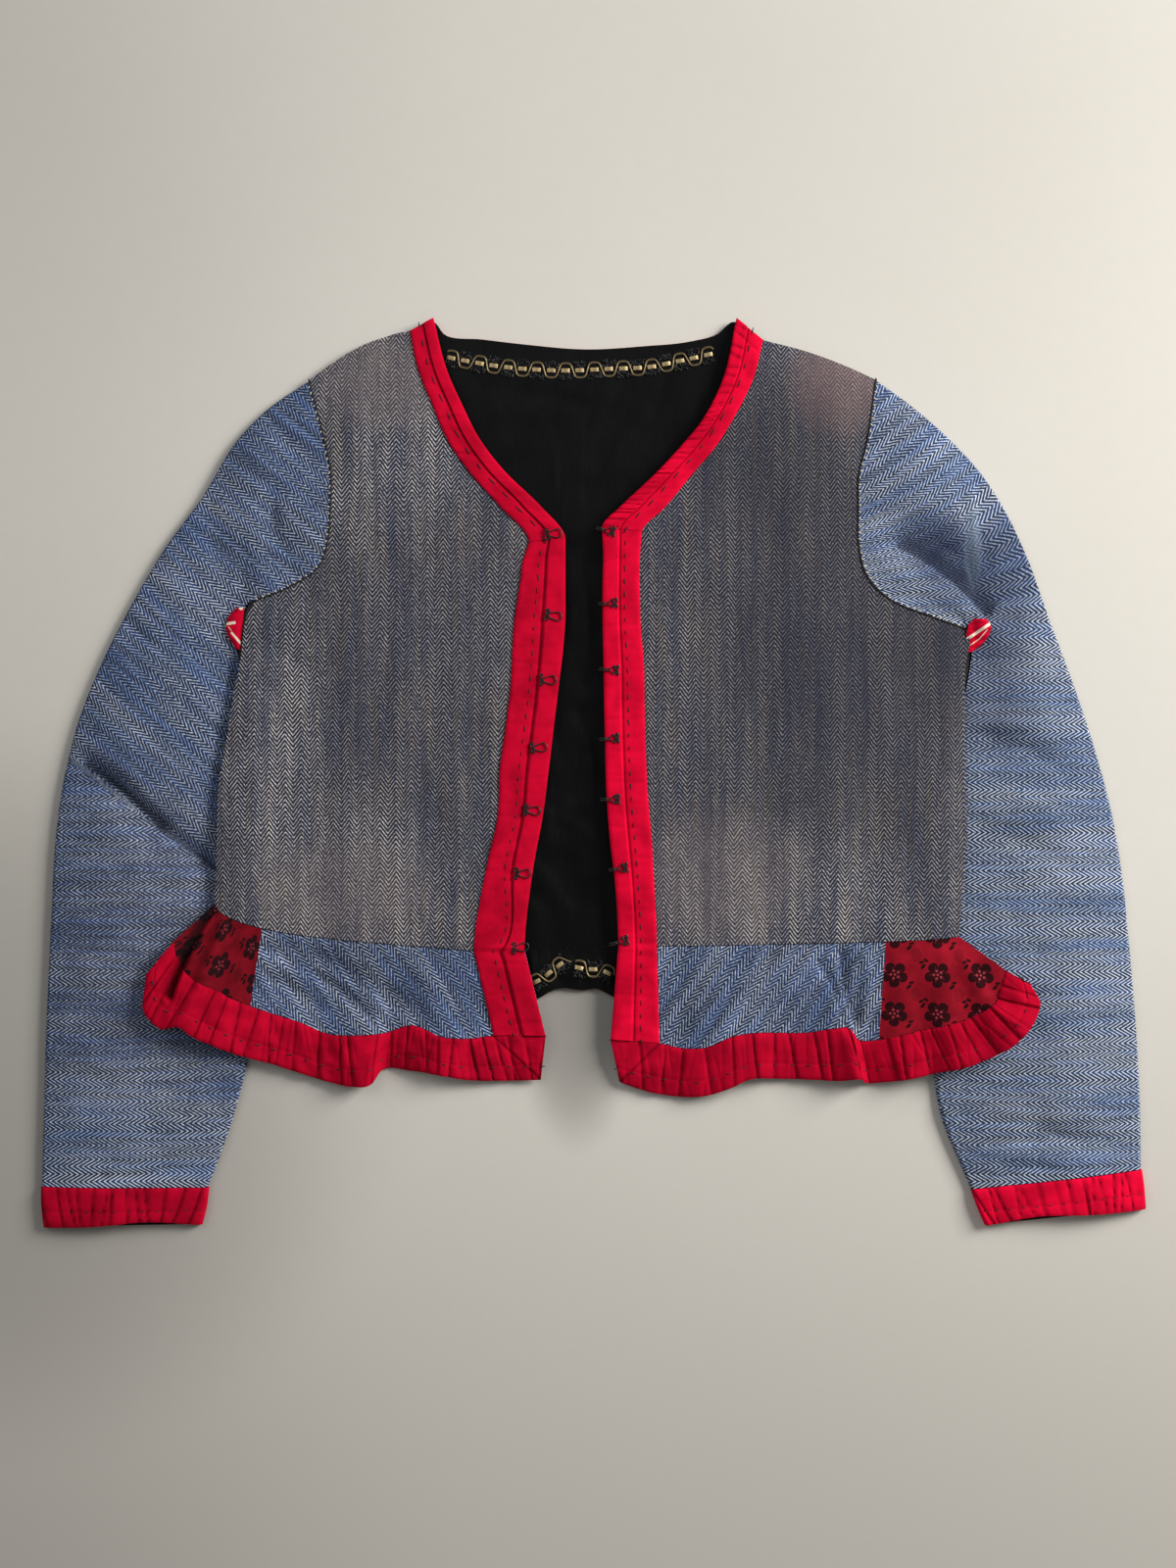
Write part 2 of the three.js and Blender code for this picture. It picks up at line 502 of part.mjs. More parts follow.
// ---- skirt ------------------------------------------------------------------------------
/** A point down a skirt section, 0 at the waist seam, 1 at the hem band, 2 at the lower edge. */
function skirtPoint(half, { waist, hem, low, lift }, t) {
  const top = [waist, waistY(waist) - GAP - 0.2];
  const plan = t <= 1 ? mixPoint(top, hem, t) : mixPoint(hem, low, t - 1);
  const room = hollow(half, [waist, waistY(waist)]) + LAYERS;
  const atHem = LAYERS + HEM - CLOTH + 0.5 + lift * 0.5;
  const height = t <= 1 ? mix(room, atHem, smooth(t)) : mix(atHem, lift + 0.4, t - 1);
  return [...plan, restHeight(half, plan) + height];
}

/** A run of skirt sections as a wall; shift parts it from its neighbours. */
function skirtPanel(half, first, last, shift) {
  const sections = half.skirt.slice(first, last + 1);
  const lower = sections.map((section, i) => [0, 0.25, 0.5, 0.75, 1].map((t) => {
    const [x, y, z] = skirtPoint(half, section, t);
    return [x + (shift[i === 0 ? 0 : i === sections.length - 1 ? 1 : 2] ?? 0), y, z];
  }));
  return wall(lower.map((row) => row.map(([x, y, z]) => [x, y, z + CLOTH])), lower);
}

const skirtFront = (half) => skirtPanel(half, 0, GODET_SEAM, [0, -half.sign * GAP]);
const skirtSide = (half) => skirtPanel(half, GODET_SEAM, half.skirt.length - 1, [0, 0]);

/** The gathered band round the lower edge of a front skirt. */
function hemBand(half) {
  const steps = 4;
  const rows = [];
  half.skirt.slice(0, -1).forEach((section, i) => {
    for (let step = 0; step < steps; step += 1) rows.push([section, half.skirt[i + 1], step / steps]);
  });
  rows.push([half.skirt[half.skirt.length - 1], half.skirt[half.skirt.length - 1], 0]);
  const lower = rows.map(([a, b, u]) => [1, 1.4, 2].map((t) => {
    const [p, q] = [skirtPoint(half, a, t), skirtPoint(half, b, t)];
    return [mix(p[0], q[0], u), mix(p[1], q[1], u) - (t === 1 ? GAP : 0), mix(p[2], q[2], u)];
  }));
  const upper = lower.map((row, i) => row.map(([x, y, z], j) => {
    const gather = i % 2 ? GATHER * (0.7 + 0.3 * Math.sin(i * 2.3)) * (j === 2 ? 0.6 : 1) : 0;
    return [x, y, z + HEM + gather];
  }));
  return wall(upper, lower);
}

const backSection = ({ waist, hem, low }, t) => {
  const top = [waist, waistY(waist) - GAP - 0.2];
  return t <= 1 ? mixPoint(top, hem, t) : mixPoint(hem, low, t - 1);
};
const skirtBack = () => sheet(SKIRT_BACK.map((s) => [0, 0.5, 1].map((t) => backSection(s, t))),
  backHeight, CLOTH);
const hemBandBack = () => sheet(SKIRT_BACK.map((s) => [1, 2].map((t) => {
  const [x, y] = backSection(s, t);
  return [x, y - (t === 1 ? GAP : 0)];
})), backHeight, CLOTH);
const skirtLining = () => sheet(
  SKIRT_BACK.map((s) => [0, 0.5, 1, 2].map((t) => backSection(s, t))),
  (p) => backHeight(p) + CLOTH + GAP,
  LINING,
);

// ---- sleeves ----------------------------------------------------------------------------
/** The armhole seam as plan points from the shoulder to the underarm. */
const armhole = (half) => half.front.slice(half.underarm).map(({ side }) => side).reverse();

/** Arc length along a line of plan points, from 0 to 1. */
function runAlong(points) {
  const lengths = [0];
  points.slice(1).forEach((p, i) => lengths.push(lengths[i] + distance(points[i], p)));
  return lengths.map((length) => length / lengths[lengths.length - 1]);
}

/** The height of a sleeve's upper side. */
function sleeveHeight(half, point, s, span, under, scale) {
  const inside = mix((1 - s) * span, Math.max(0, insideSleeve(half, point)), under);
  const outerRise = 1 - Math.max(0, 1 - (s * span) / 60) ** 2;
  const height = SLEEVE_RISE * scale * innerRise(inside) * outerRise;
  return FOLD_HEIGHT + Math.max(0, height - foldDepth(SLEEVE_FOLDS, point) * outerRise);
}

/** One closed ring of a sleeve: rising points, then the underside back, with rounded folds. */
function sleeveRing(points, tops, floors, roll, inset, thickness) {
  const last = points.length - 1;
  const across = [points[last][0] - points[0][0], points[last][1] - points[0][1]];
  const length = Math.hypot(...across);
  const unit = [across[0] / length, across[1] / length];
  const plan = points.map(([x, y], j) => {
    const shift = j === 0 ? inset : j === last ? -inset : 0;
    return [x + unit[0] * shift, y + unit[1] * shift];
  });
  const fold = (j, outwards) => {
    const middle = (tops[j] + floors[j]) / 2;
    return [points[j][0] + unit[0] * outwards, points[j][1] + unit[1] * outwards, middle];
  };
  const upper = plan.map((p, j) => [...p, tops[j] - thickness]);
  const lower = plan.map((p, j) => [...p, floors[j] + thickness]).reverse();
  return [fold(0, -roll), ...upper, fold(last, roll), ...lower];
}

/** The rings of a sleeve, from the armhole to just above the cuff. */
function sleeveSections(half) {
  const seam = armhole(half);
  const s = runAlong(seam);
  const chordAt = (j, from, to) => mixPoint(from, to, s[j]);
  const bulge = seam.map((p, j) => {
    const chord = chordAt(j, seam[0], seam[seam.length - 1]);
    return [p[0] - chord[0], p[1] - chord[1]];
  });
  const first = {
    points: offsetLine(seam, half.sign * GAP),
    tops: seam.map((p) => frontHeight(half, p) + CLOTH),
    floors: seam.map((p) => restHeight(half, p)),
    roll: 0,
  };
  const rest = half.sleeve.map(({ outer, inner }, index) => {
    const k = index + 1;
    const carry = Math.max(0, 1 - k / 3.2) ** 2;
    const arm = Math.max(0, 1 - k / 3) ** 1.5;
    const under = clamp01((k - 1) / 2);
    const scale = 1 - 0.12 * Math.max(0, k - 12);
    const span = distance(outer, inner);
    const points = s.map((_, j) => {
      const chord = chordAt(j, outer, inner);
      return [chord[0] + bulge[j][0] * carry, chord[1] + bulge[j][1] * carry];
    });
    const tops = points.map((p, j) => mix(sleeveHeight(half, p, s[j], span, under, scale),
      first.tops[j], arm));
    return { points, tops, floors: first.floors.map((z) => z * arm), roll: Math.min(k, 2) * 0.7 };
  });
  return [first, ...rest];
}

function tubeFrom(sections, thickness) {
  const outer = sections.map(({ points, tops, floors, roll }) => sleeveRing(
    points, tops, floors, Math.min(roll, EDGE_ROLL), 0, 0));
  const inner = sections.map(({ points, tops, floors, roll }) => sleeveRing(
    points, tops, floors, Math.min(roll, EDGE_ROLL) - thickness, thickness, thickness));
  return sleeveTube(outer, inner);
}

const sleeve = (half) => tubeFrom(sleeveSections(half), CLOTH);

/** The cuff carries on from the sleeve's last section, with a thicker wall. */
function cuff(half) {
  const sections = sleeveSections(half);
  const { tops } = sections[sections.length - 1];
  const s = runAlong(armhole(half));
  return tubeFrom(half.cuff.map(({ outer, inner }) => ({
    points: s.map((u) => mixPoint(outer, inner, u)),
    tops: tops.map((z) => z + HEM - CLOTH),
    floors: tops.map(() => 0),
    roll: EDGE_ROLL,
  })), HEM);
}

/** The height of a sleeve's upper side at a plan point, read from the facets of its sections. */
function sleeveTopAt(sections, [x, y]) {
  const corner = (k, j) => [...sections[k].points[j], sections[k].tops[j]];
  for (let k = 0; k + 1 < sections.length; k += 1) {
    for (let j = 0; j + 1 < sections[k].points.length; j += 1) {
      const cell = [corner(k, j), corner(k, j + 1), corner(k + 1, j + 1), corner(k + 1, j)];
      for (const [a, b, c] of [[cell[0], cell[1], cell[2]], [cell[0], cell[2], cell[3]]]) {
        const area = (b[0] - a[0]) * (c[1] - a[1]) - (c[0] - a[0]) * (b[1] - a[1]);
        const v = ((x - a[0]) * (c[1] - a[1]) - (c[0] - a[0]) * (y - a[1])) / area;
        const w = ((b[0] - a[0]) * (y - a[1]) - (x - a[0]) * (b[1] - a[1])) / area;
        if (v >= -1e-9 && w >= -1e-9 && v + w <= 1 + 1e-9) {
          return a[2] + v * (b[2] - a[2]) + w * (c[2] - a[2]);
        }
      }
    }
  }
  return FOLD_HEIGHT;
}

/** The small patch that bulges out at the underarm, over the sleeve and beside the side seam. */
function gusset(half) {
  const sections = sleeveSections(half);
  const plan = half.gusset.map(({ y, near, far }) => (
    [0, 0.25, 0.5, 0.75, 1].map((u) => [mix(near, far, u), y])));
  return sheet(plan, (p) => sleeveTopAt(sections, p) + OVER_CLEARANCE + GAP, CLOTH);
}

// ---- hooks, eyes and braid --------------------------------------------------------------
/** The top of the folded part of the facing, where the hooks and eyes are sewn. */
function facingTop(half, [x, y]) {
  const edges = half.front.map(({ edge }) => [edge[1], edge[0]]);
  const edgeX = readTable(edges, y);
  const onCloth = half.sign * (x - edgeX) < 0 ? edgeX : x;
  return frontHeight(half, [onCloth, y]) + CLOTH + GAP + FACING + TUCK + GAP;
}

/** Points round a sewing ring of the wire, from one angle to another in degrees. */
function ringPoints(centre, radius, from, to, steps) {
  return Array.from({ length: steps + 1 }, (_, i) => {
    const angle = THREE.MathUtils.degToRad(mix(from, to, i / steps));
    return [centre[0] + radius * Math.cos(angle), centre[1] + radius * Math.sin(angle), 0];
  });
}

const mirrored = (points) => points.map(([x, y, z]) => [x, -y, z]).reverse();

/** An eye: two sewing rings and the loop that the hook catches, which points along +X. */
function eyePath() {
  const ring = ringPoints([-4.2, 2.2], 1.5, 60, 330, 6);
  const loop = ringPoints([2.6, 0], 2.9, 115, 0, 4);
  const half = [...ring, ...loop];
  return [...half, ...mirrored(half.slice(0, -1))];
}

/** A hook: two sewing rings and a doubled wire whose end turns back over itself, along -X. */
function hookPath() {
  const ring = ringPoints([4.2, 2.3], 1.5, 60, -210, 6);
  const shank = [[0, 0.75, 0], [-6.4, 0.75, 0], [-7.6, 0.75, 0.6], [-7.6, 0.75, 1.7]];
  const bill = [[-6.4, 0.75, 2.3], [-3.2, 0.75, 2.3], [-2.6, 0.3, 2.3]];
  const half = [...ring, ...shank, ...bill];
  return [...half, ...mirrored(half)];
}

/** A bent wire laid on a facing, turned about its own middle. */
function fastener(half, { at, turn }, path) {
  const angle = THREE.MathUtils.degToRad(turn);
  const [cos, sin] = [Math.cos(angle), Math.sin(angle)];
  return wire(path.map(([x, y, z]) => {
    const plan = [at[0] + x * cos - y * sin, at[1] + x * sin + y * cos];
    return [...plan, facingTop(half, plan) + WIRE + z];
  }), WIRE);
}

/** A strip of braid with scalloped edges on the lining. */
function braid(line) {
  const width = 7;
  const fine = line.slice(0, -1).flatMap((p, i) => [p, mixPoint(p, line[i + 1], 0.5)]);
  fine.push(line[line.length - 1]);
  const rows = [-0.5, 0, 0.5].map((side) => offsetLine(fine, side * width));
  const base = CLOTH + GAP + LINING + GAP;
  return sheet(rows, (p) => backHeight(p) + base, (i, j) => (j % 2 ? 1.5 : 1.1));
}

// ---- the jacket -------------------------------------------------------------------------
const jacket = new THREE.Group();

function add(name, geometry, colour, roughness = 0.9, metalness = 0) {
  const material = new THREE.MeshStandardMaterial({ color: COLOURS[colour], roughness, metalness });
  const mesh = new THREE.Mesh(geometry, material);
  mesh.name = name;
  jacket.add(mesh);
}

add('back_panel', backPanel(), 'body');
add('back_lining', backLining(), 'satin', 0.35);
add('neck_facing_back', backNeckFacing(), 'facing');
add('skirt_back', skirtBack(), 'skirt');
add('hem_band_back', hemBandBack(), 'facing');
add('skirt_lining', skirtLining(), 'satin', 0.35);
Object.entries(halves).forEach(([side, half]) => {
  add(`front_${side}`, frontPanel(half), 'body');
  add(`neck_facing_${side}`, neckFacing(half), 'facing');
  add(`front_facing_${side}`, frontFacing(half), 'facing');
  add(`skirt_front_${side}`, skirtFront(half), 'skirt');
  add(`godet_${side}`, skirtSide(half), 'floral');
  add(`hem_band_${side}`, hemBand(half), 'facing');
  add(`sleeve_${side}`, sleeve(half), 'sleeve');
  add(`cuff_${side}`, cuff(half), 'facing');
  add(`gusset_${side}`, gusset(half), 'gusset');
});
EYES.forEach((place, i) => {
  add(`eye_${i + 1}`, fastener(halves.left, place, eyePath()), 'hook', 0.5, 0.8);
});
HOOKS.forEach((place, i) => {
  add(`hook_${i + 1}`, fastener(halves.right, place, hookPath()), 'hook', 0.5, 0.8);
});
add('braid_neck', braid(NECK_BRAID), 'braid', 0.5, 0.5);
add('braid_hem_left', braid(HEM_BRAID_LEFT), 'braid', 0.5, 0.5);
add('braid_hem_right', braid(HEM_BRAID_RIGHT), 'braid', 0.5, 0.5);

// The origin is under the middle of the laid-out jacket, on the table.
const box = new THREE.Box3().setFromObject(jacket);
const middle = box.getCenter(new THREE.Vector3());
jacket.position.set(-middle.x, -middle.y, -box.min.z);

export default jacket;
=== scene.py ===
"""A short lined jacket with long sleeves and a flared skirt, laid flat with its fronts open.

Lengths in the tables and in the shape functions are millimetres: +X across the jacket, +Y to
the neck, +Z up off the table. Meshes are written in metres.
"""

import math

import bpy
import numpy as np
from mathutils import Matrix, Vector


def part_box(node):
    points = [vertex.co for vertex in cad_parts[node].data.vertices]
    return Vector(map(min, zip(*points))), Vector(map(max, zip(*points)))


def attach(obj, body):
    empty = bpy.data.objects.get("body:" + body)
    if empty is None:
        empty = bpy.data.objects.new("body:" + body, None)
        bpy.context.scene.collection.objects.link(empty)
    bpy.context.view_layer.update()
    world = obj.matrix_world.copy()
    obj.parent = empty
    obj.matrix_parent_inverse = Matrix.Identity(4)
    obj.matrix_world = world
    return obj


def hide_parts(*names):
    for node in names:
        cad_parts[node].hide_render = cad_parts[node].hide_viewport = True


bl_info = {
    "name": "Laid-out jacket",
    "version": (1, 0, 0),
    "blender": (4, 5, 0),
    "location": "View3D > Sidebar > Jacket",
    "description": "Cloth, facings, sewing and trimmings of a short jacket laid flat",
    "category": "Add Mesh",
}

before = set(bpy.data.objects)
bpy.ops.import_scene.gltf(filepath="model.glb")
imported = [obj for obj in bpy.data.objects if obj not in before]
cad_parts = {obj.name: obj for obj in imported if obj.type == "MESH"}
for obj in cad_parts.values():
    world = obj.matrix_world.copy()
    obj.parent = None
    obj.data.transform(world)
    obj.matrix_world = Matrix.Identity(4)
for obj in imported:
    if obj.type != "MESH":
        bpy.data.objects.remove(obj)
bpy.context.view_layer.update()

# ---- sizes that the cloth shares with the frame --------------------------------------------
MM = 0.001
CLOTH = 1.6
LINING = 1.0
FACING = 1.2
TUCK = 0.7
HEM = 2.4
GAP = 0.3
HOLLOW = 8.5
LAYERS = CLOTH + GAP + LINING + GAP
FOLD_HEIGHT = CLOTH + LAYERS
SLEEVE_RISE = 8.5
REST_RAMP = 45.0
OVER_CLEARANCE = 0.9
EDGE_ROLL = 1.4
WIRE = 0.45
CAMERA_HEIGHT = 1477.0
PICTURE_CENTRE = (-3.3, -7.9)

# Places in the plane: where the armhole's lift begins and over what length it comes in, the
# waist of the lining, the middle of the opening and the end of the print on the skirt lining.
ARMHOLE_TOP, ARMHOLE_FADE = 180, 65
LINING_WAIST = -116
OPENING_X = -12
PRINT_EDGE = -252

# Breadths that are shared out into grid steps, then fixed steps and counts.
FRONT_WIDTH, FACING_WIDTH, SKIRT_DEPTH, GODET_DEPTH, SLEEVE_ROUND = 155, 34, 58, 60, 200
FACING_STEP, HEM_STEP = 1.4, 0.9
FACING_COLUMNS, HEM_COLUMNS, BACK_ROWS, CUFF_ROWS = 36, 30, 14, 26

# Where stitch lines run: column of a facing, column of a hem band, row of a cuff.
FACING_STITCHES, HEM_STITCHES, CUFF_STITCHES = 14, 20, 15

# A facing's tuck as shares of its width, and smaller amounts of cloth.
TUCK_GROOVE, TUCK_LINE, TUCK_EDGE = 0.548, 0.55, 0.555
BAND_WIDTH = 30
CUFF_DEPTH = 26
HEM_TURNING = 0.4
WAIST_EASE = 0.2

# A weave's band width, its threads' turn in degrees and the distance between two threads. Then
# the turn of the skirt's weave and the distances between the print's flowers.
BODY_WEAVE = (5.3, 36, 1.85)
SLEEVE_WEAVE = (4.9, 30, 1.85)
SKIRT_TURN = 57
LATTICE = (28.4, 26.4)

# ---- tables --------------------------------------------------------------------------------
# A front, row by row from the waist to the shoulder: side x, y, facing's outer edge x, y and
# opening or neck edge x, y.
FRONT_LEFT = np.array([
    (-254, -88, -80, -120, -46, -119.2), (-253, -58, -71, -61, -39.6, -61),
    (-252.5, -34, -64, -29, -33.7, -29), (-251, -4.6, -62.7, 2, -29.7, 2),
    (-246, 24, -58.7, 30, -26.4, 30), (-242, 51.5, -55.4, 58, -23, 58),
    (-237, 79, -54, 86, -19.8, 86), (-233.6, 103.6, -52.8, 103, -18.5, 105.6),
    (-226.4, 116, -50.8, 116, -18.5, 120), (-204.6, 124.7, -48.8, 129, -18.5, 134),
    (-184, 139, -47.5, 141, -18.5, 146.5), (-178.5, 155, -43, 155, -18.5, 158.4),
    (-176.5, 179, -62.7, 179, -35, 179), (-176.6, 203, -84.2, 203.3, -60, 203.3),
    (-181, 225, -98.7, 225, -77, 225.7), (-185.7, 243, -107.6, 246, -87.8, 247),
    (-189, 254.8, -117.5, 270.6, -98.7, 272), (-192, 264.7, -123.6, 298.3, -107.7, 307),
])
FRONT_RIGHT = np.array([
    (246, -110, 43, -117, 17, -117.6), (249, -74, 41, -71, 14.5, -71),
    (251.5, -47.5, 39.6, -46, 11.5, -46), (251, -18, 37, -16, 9.2, -16),
    (250.8, 12, 35.6, 13, 8.3, 13), (250.5, 39.6, 34.8, 41.6, 7.6, 41.6),
    (250.8, 69, 34.3, 72, 7.1, 72), (250.5, 97, 32, 101, 6.5, 103),
    (224.4, 106, 31.7, 116, 6.3, 117.5), (197.3, 118, 31.4, 130.7, 6.6, 132),
    (184, 132.7, 31.7, 146.5, 6.9, 147), (178.9, 151.8, 33, 162.4, 5.9, 164.7),
    (178.6, 176.9, 48.2, 178, 18.5, 178.9), (179.3, 202, 68, 202, 42.9, 202),
    (184, 219.8, 82.5, 219, 58.7, 219), (187.4, 239.6, 95.7, 240, 75.2, 239.6),
    (189.4, 254, 107.6, 264, 88.4, 267.3), (191.4, 265.3, 114.8, 291.7, 97, 306.9),
])
NECK_CORNER = 11

# Skirt sections from the opening to the side: waist x, upper edge of the hem band x, y, its
# lower edge x, y and how high that edge waves.
SKIRT_LEFT = np.array([
    (-46, -32, -177.5, -35, -208, 3), (-80, -67, -177.5, -60, -208.6, 2),
    (-97, -84, -179.5, -82.5, -208, 5), (-112, -102, -178, -102, -204.6, 9),
    (-127, -122, -170.5, -122, -201.7, 4), (-140, -139, -175.5, -142.6, -201.5, 1),
    (-150, -147, -176.5, -148.7, -210, 8), (-163, -165, -177.3, -163.4, -212, 7),
    (-178, -180, -176, -179.5, -209, 3), (-193, -196, -169, -198.7, -203, 4),
    (-208, -212, -163.6, -216, -197.3, 3), (-222, -230, -157, -239, -190, 5),
    (-230, -243, -151, -254, -183.5, 9), (-238, -252.8, -145.2, -269, -176.2, 10),
    (-243, -262, -141, -277, -170, 12.5), (-247, -270, -136, -289, -171.6, 8),
    (-250, -277, -127, -300, -160, 6), (-254, -281, -113.5, -299, -136, 5),
])
SKIRT_RIGHT = np.array([
    (17, 12, -180, 17.8, -209.5, 3), (43, 45, -182.8, 41.6, -217, 2),
    (58, 60, -186, 60, -219.5, 2.5), (72, 77, -185.3, 78.5, -218, 6),
    (86, 93.5, -178.2, 94, -212.3, 9), (100, 106.3, -175.8, 106, -207.3, 7),
    (120, 124, -175.6, 126.7, -207.2, 3), (142, 145, -175.4, 148, -207.6, 4),
    (160, 163, -172.5, 166, -208, 8), (172, 173, -172.5, 180, -206.5, 12),
    (181, 179, -180, 185, -210, 3), (197, 193, -180.2, 199, -209.2, 4),
    (209, 207, -177, 214, -206.6, 7), (220, 221, -173.3, 231, -202.6, 4),
    (229, 237, -169.6, 249, -198.3, 8), (236, 252, -164.8, 267, -191.5, 5),
    (240, 264, -158, 283, -181.5, 9), (243, 271.5, -149, 299, -157, 6),
    (246, 276, -132.5, 293, -141.5, 5),
])
GODET_SEAM = 11
SKIRT_BACK = np.array([
    (-253, -278.5, -115, -295, -134), (-246, -268, -130, -282, -150),
    (-236, -256, -140, -264, -162), (-220, -234, -149, -238, -170),
    (-195, -205, -152, -207, -174), (-165, -172, -154, -173, -176),
    (-130, -135, -151, -136, -173), (-95, -98, -147, -99, -167),
    (-65, -66, -140, -67, -159), (-45, -44, -137, -40, -154.5),
    (-30, -28, -133, -24, -146.5), (-12, -10, -134, -6, -147.5), (0, 1, -134, 2, -146.5),
    (14, 15, -138, 15, -152.5), (40, 42, -141, 43, -160), (75, 78, -148, 79, -169),
    (115, 119, -153, 121, -174), (155, 160, -154, 163, -176), (195, 205, -152, 210, -174),
    (225, 240, -146, 249, -168), (238, 262, -138, 276, -155), (245, 272, -132, 289, -142),
])

# The top of the back: x, where its cloth ends, where the neck facing ends.
BACK_TOP = np.array([
    (-192, 264.7, 264.7), (-173, 278.3, 278.3), (-154, 288.5, 288.5), (-123.6, 298, 298),
    (-108, 290, 305), (-100, 281, 296), (-75, 278, 293), (-45, 274.5, 289.5),
    (-5, 271.3, 286.3), (35, 273.5, 288.5), (65, 276.5, 291.5), (84, 281.5, 296.5),
    (95, 290, 305), (114.8, 291.7, 291.7), (135, 287, 287), (155, 281, 281),
    (173, 274, 274), (191.4, 265.3, 265.3),
])
NECK_COLUMNS = (4, 12)

# Sleeve sections below the armhole: outer end x, y and inner end x, y.
SLEEVE_LEFT = np.array([
    (-216.5, 248, -234, 113.5), (-241, 223, -238.5, 97), (-264, 185, -240, 80),
    (-289, 150.5, -233.5, 58), (-313, 109.5, -229, 32), (-331, 74, -226.5, 5),
    (-346.5, 35.5, -224.5, -18), (-357, -6, -223.7, -41), (-362.5, -46, -223, -67),
    (-365, -90.5, -223.7, -97), (-367, -133.5, -225.7, -130), (-369, -179.5, -230.5, -170),
    (-370, -219, -239, -212.5), (-371, -252, -250, -249), (-371.5, -280, -262, -280.5),
])
SLEEVE_RIGHT = np.array([
    (213, 249.5, 254.8, 98), (238, 227.5, 256.5, 86), (260.5, 203.5, 255.5, 70),
    (279, 175, 250.5, 48), (293.5, 144, 244.3, 28.5), (308, 103, 239.6, 2),
    (324.5, 58, 236.3, -21), (338.5, 15, 233, -44), (349.8, -27.7, 231, -67),
    (357, -70.6, 229.7, -94), (361, -110, 229, -123.5), (364.3, -146.5, 229, -160),
    (367, -183, 231.5, -196), (369, -226, 237, -232.5), (369.5, -268.5, 257.2, -281.5),
])
CUFF_LEFT = np.array([
    (-372.3, -280.4, -261, -280.9), (-372, -294, -262.5, -293.5),
    (-370.5, -307.8, -265.5, -306),
])
CUFF_RIGHT = np.array([
    (370.3, -269, 257, -282), (372, -282, 261.5, -294.5), (373, -295.5, 266.5, -306.3),
])

# The patch at each underarm from the neck end down: y, x beside the side seam, x outside.
GUSSET_LEFT = np.array([
    (111, -235, -240), (106, -235.6, -245), (98, -236.4, -247.5), (90, -237, -245),
    (83, -237.6, -240.5),
])
GUSSET_RIGHT = np.array([
    (103, 256, 265), (98, 252.5, 268), (92, 251.7, 266.5), (86, 251.7, 262),
    (81, 251.7, 255.5),
])

# Creases: from x, y, to x, y, depth of the trough (a ridge below 0), width, sideways bend and
# how much wider the far side of the line is than the near side.
SLEEVE_FOLDS = [
    (-341, 3, -300, -36, 4, 11, 0, 1), (-300, -36, -258, -58, 3, 12, 0, 1),
    (-348, 18, -318, 6, -2, 12, 0, 1), (-214, 168, -196, 140, 4, 12, 0, 1),
    (-330, -262, -268, -262, 2, 9, 0, 1), (200, 158, 236, 140, 5, 16, 0, 1),
    (188, 140, 262, 108, -3, 12, 0, 1), (256, 192, 257, 122, -3, 11, 0, 1),
    (268, 16, 330, -8, 3, 14, 0, 1), (262, -52, 345, -40, 3, 14, 0, 1),
    (300, -250, 368, -245, 2.5, 9, 0, 1),
]
SLEEVE_CREASES = [
    (-342, 4, -292, -38, 4.4, 2.0, 3, 3.2), (-292, -38, -258, -59, 2.8, 2.0, -2, 2.8),
    (-338, 16, -300, -18, -0.9, 5, 2, 1), (-330, -20, -280, -58, -0.8, 6, 4, 1),
    (-262, -262, -330, -272, 1.6, 2.6, 3, 2), (-330, -272, -360, -276, 1.1, 2.6, 0, 2),
    (-268, -252, -318, -258, -0.7, 4, 2, 1), (-206, 150, -214, 176, 2.4, 3.2, 3, 2),
    (-200, 140, -184, 150, 1.8, 3, 0, 1), (-236, 128, -268, 96, 1.0, 5, 6, 1),
    (-244, 140, -300, 112, 0.7, 7, 5, 1), (-300, 40, -352, 20, 0.7, 6, 4, 1),
    (-250, -110, -330, -96, 0.6, 8, 5, 1), (-240, -150, -300, -170, 0.6, 7, -4, 1),
    (207, 152, 264, 107, 5.4, 2.4, 5, 5.2), (198, 138, 258, 102, -2.2, 8, 0, 1),
    (204, 126, 246, 110, -1.2, 5, 3, 1), (246, 196, 251, 130, 1.3, 4, 4, 2),
    (262, 190, 268, 140, 0.9, 4, -3, 1.4), (256, 188, 257, 126, -1.5, 4.5, 2, 1),
    (266, 22, 318, -2, 1.3, 4.4, 5, 2),
    (272, -4, 330, -34, 1.0, 5, 4, 1.6), (262, -40, 320, -66, 1.0, 5, 5, 1.6),
    (300, 60, 330, 34, 0.8, 6, 3, 1), (250, -232, 330, -250, 1.1, 3.2, 3, 2),
    (270, -252, 352, -248, 1.2, 2.8, 3, 2), (300, -238, 366, -234, 0.8, 3.4, -2, 1),
    (262, -262, 300, -266, 0.9, 3, 1, 1), (240, -120, 300, -104, 0.6, 8, 4, 1),
]
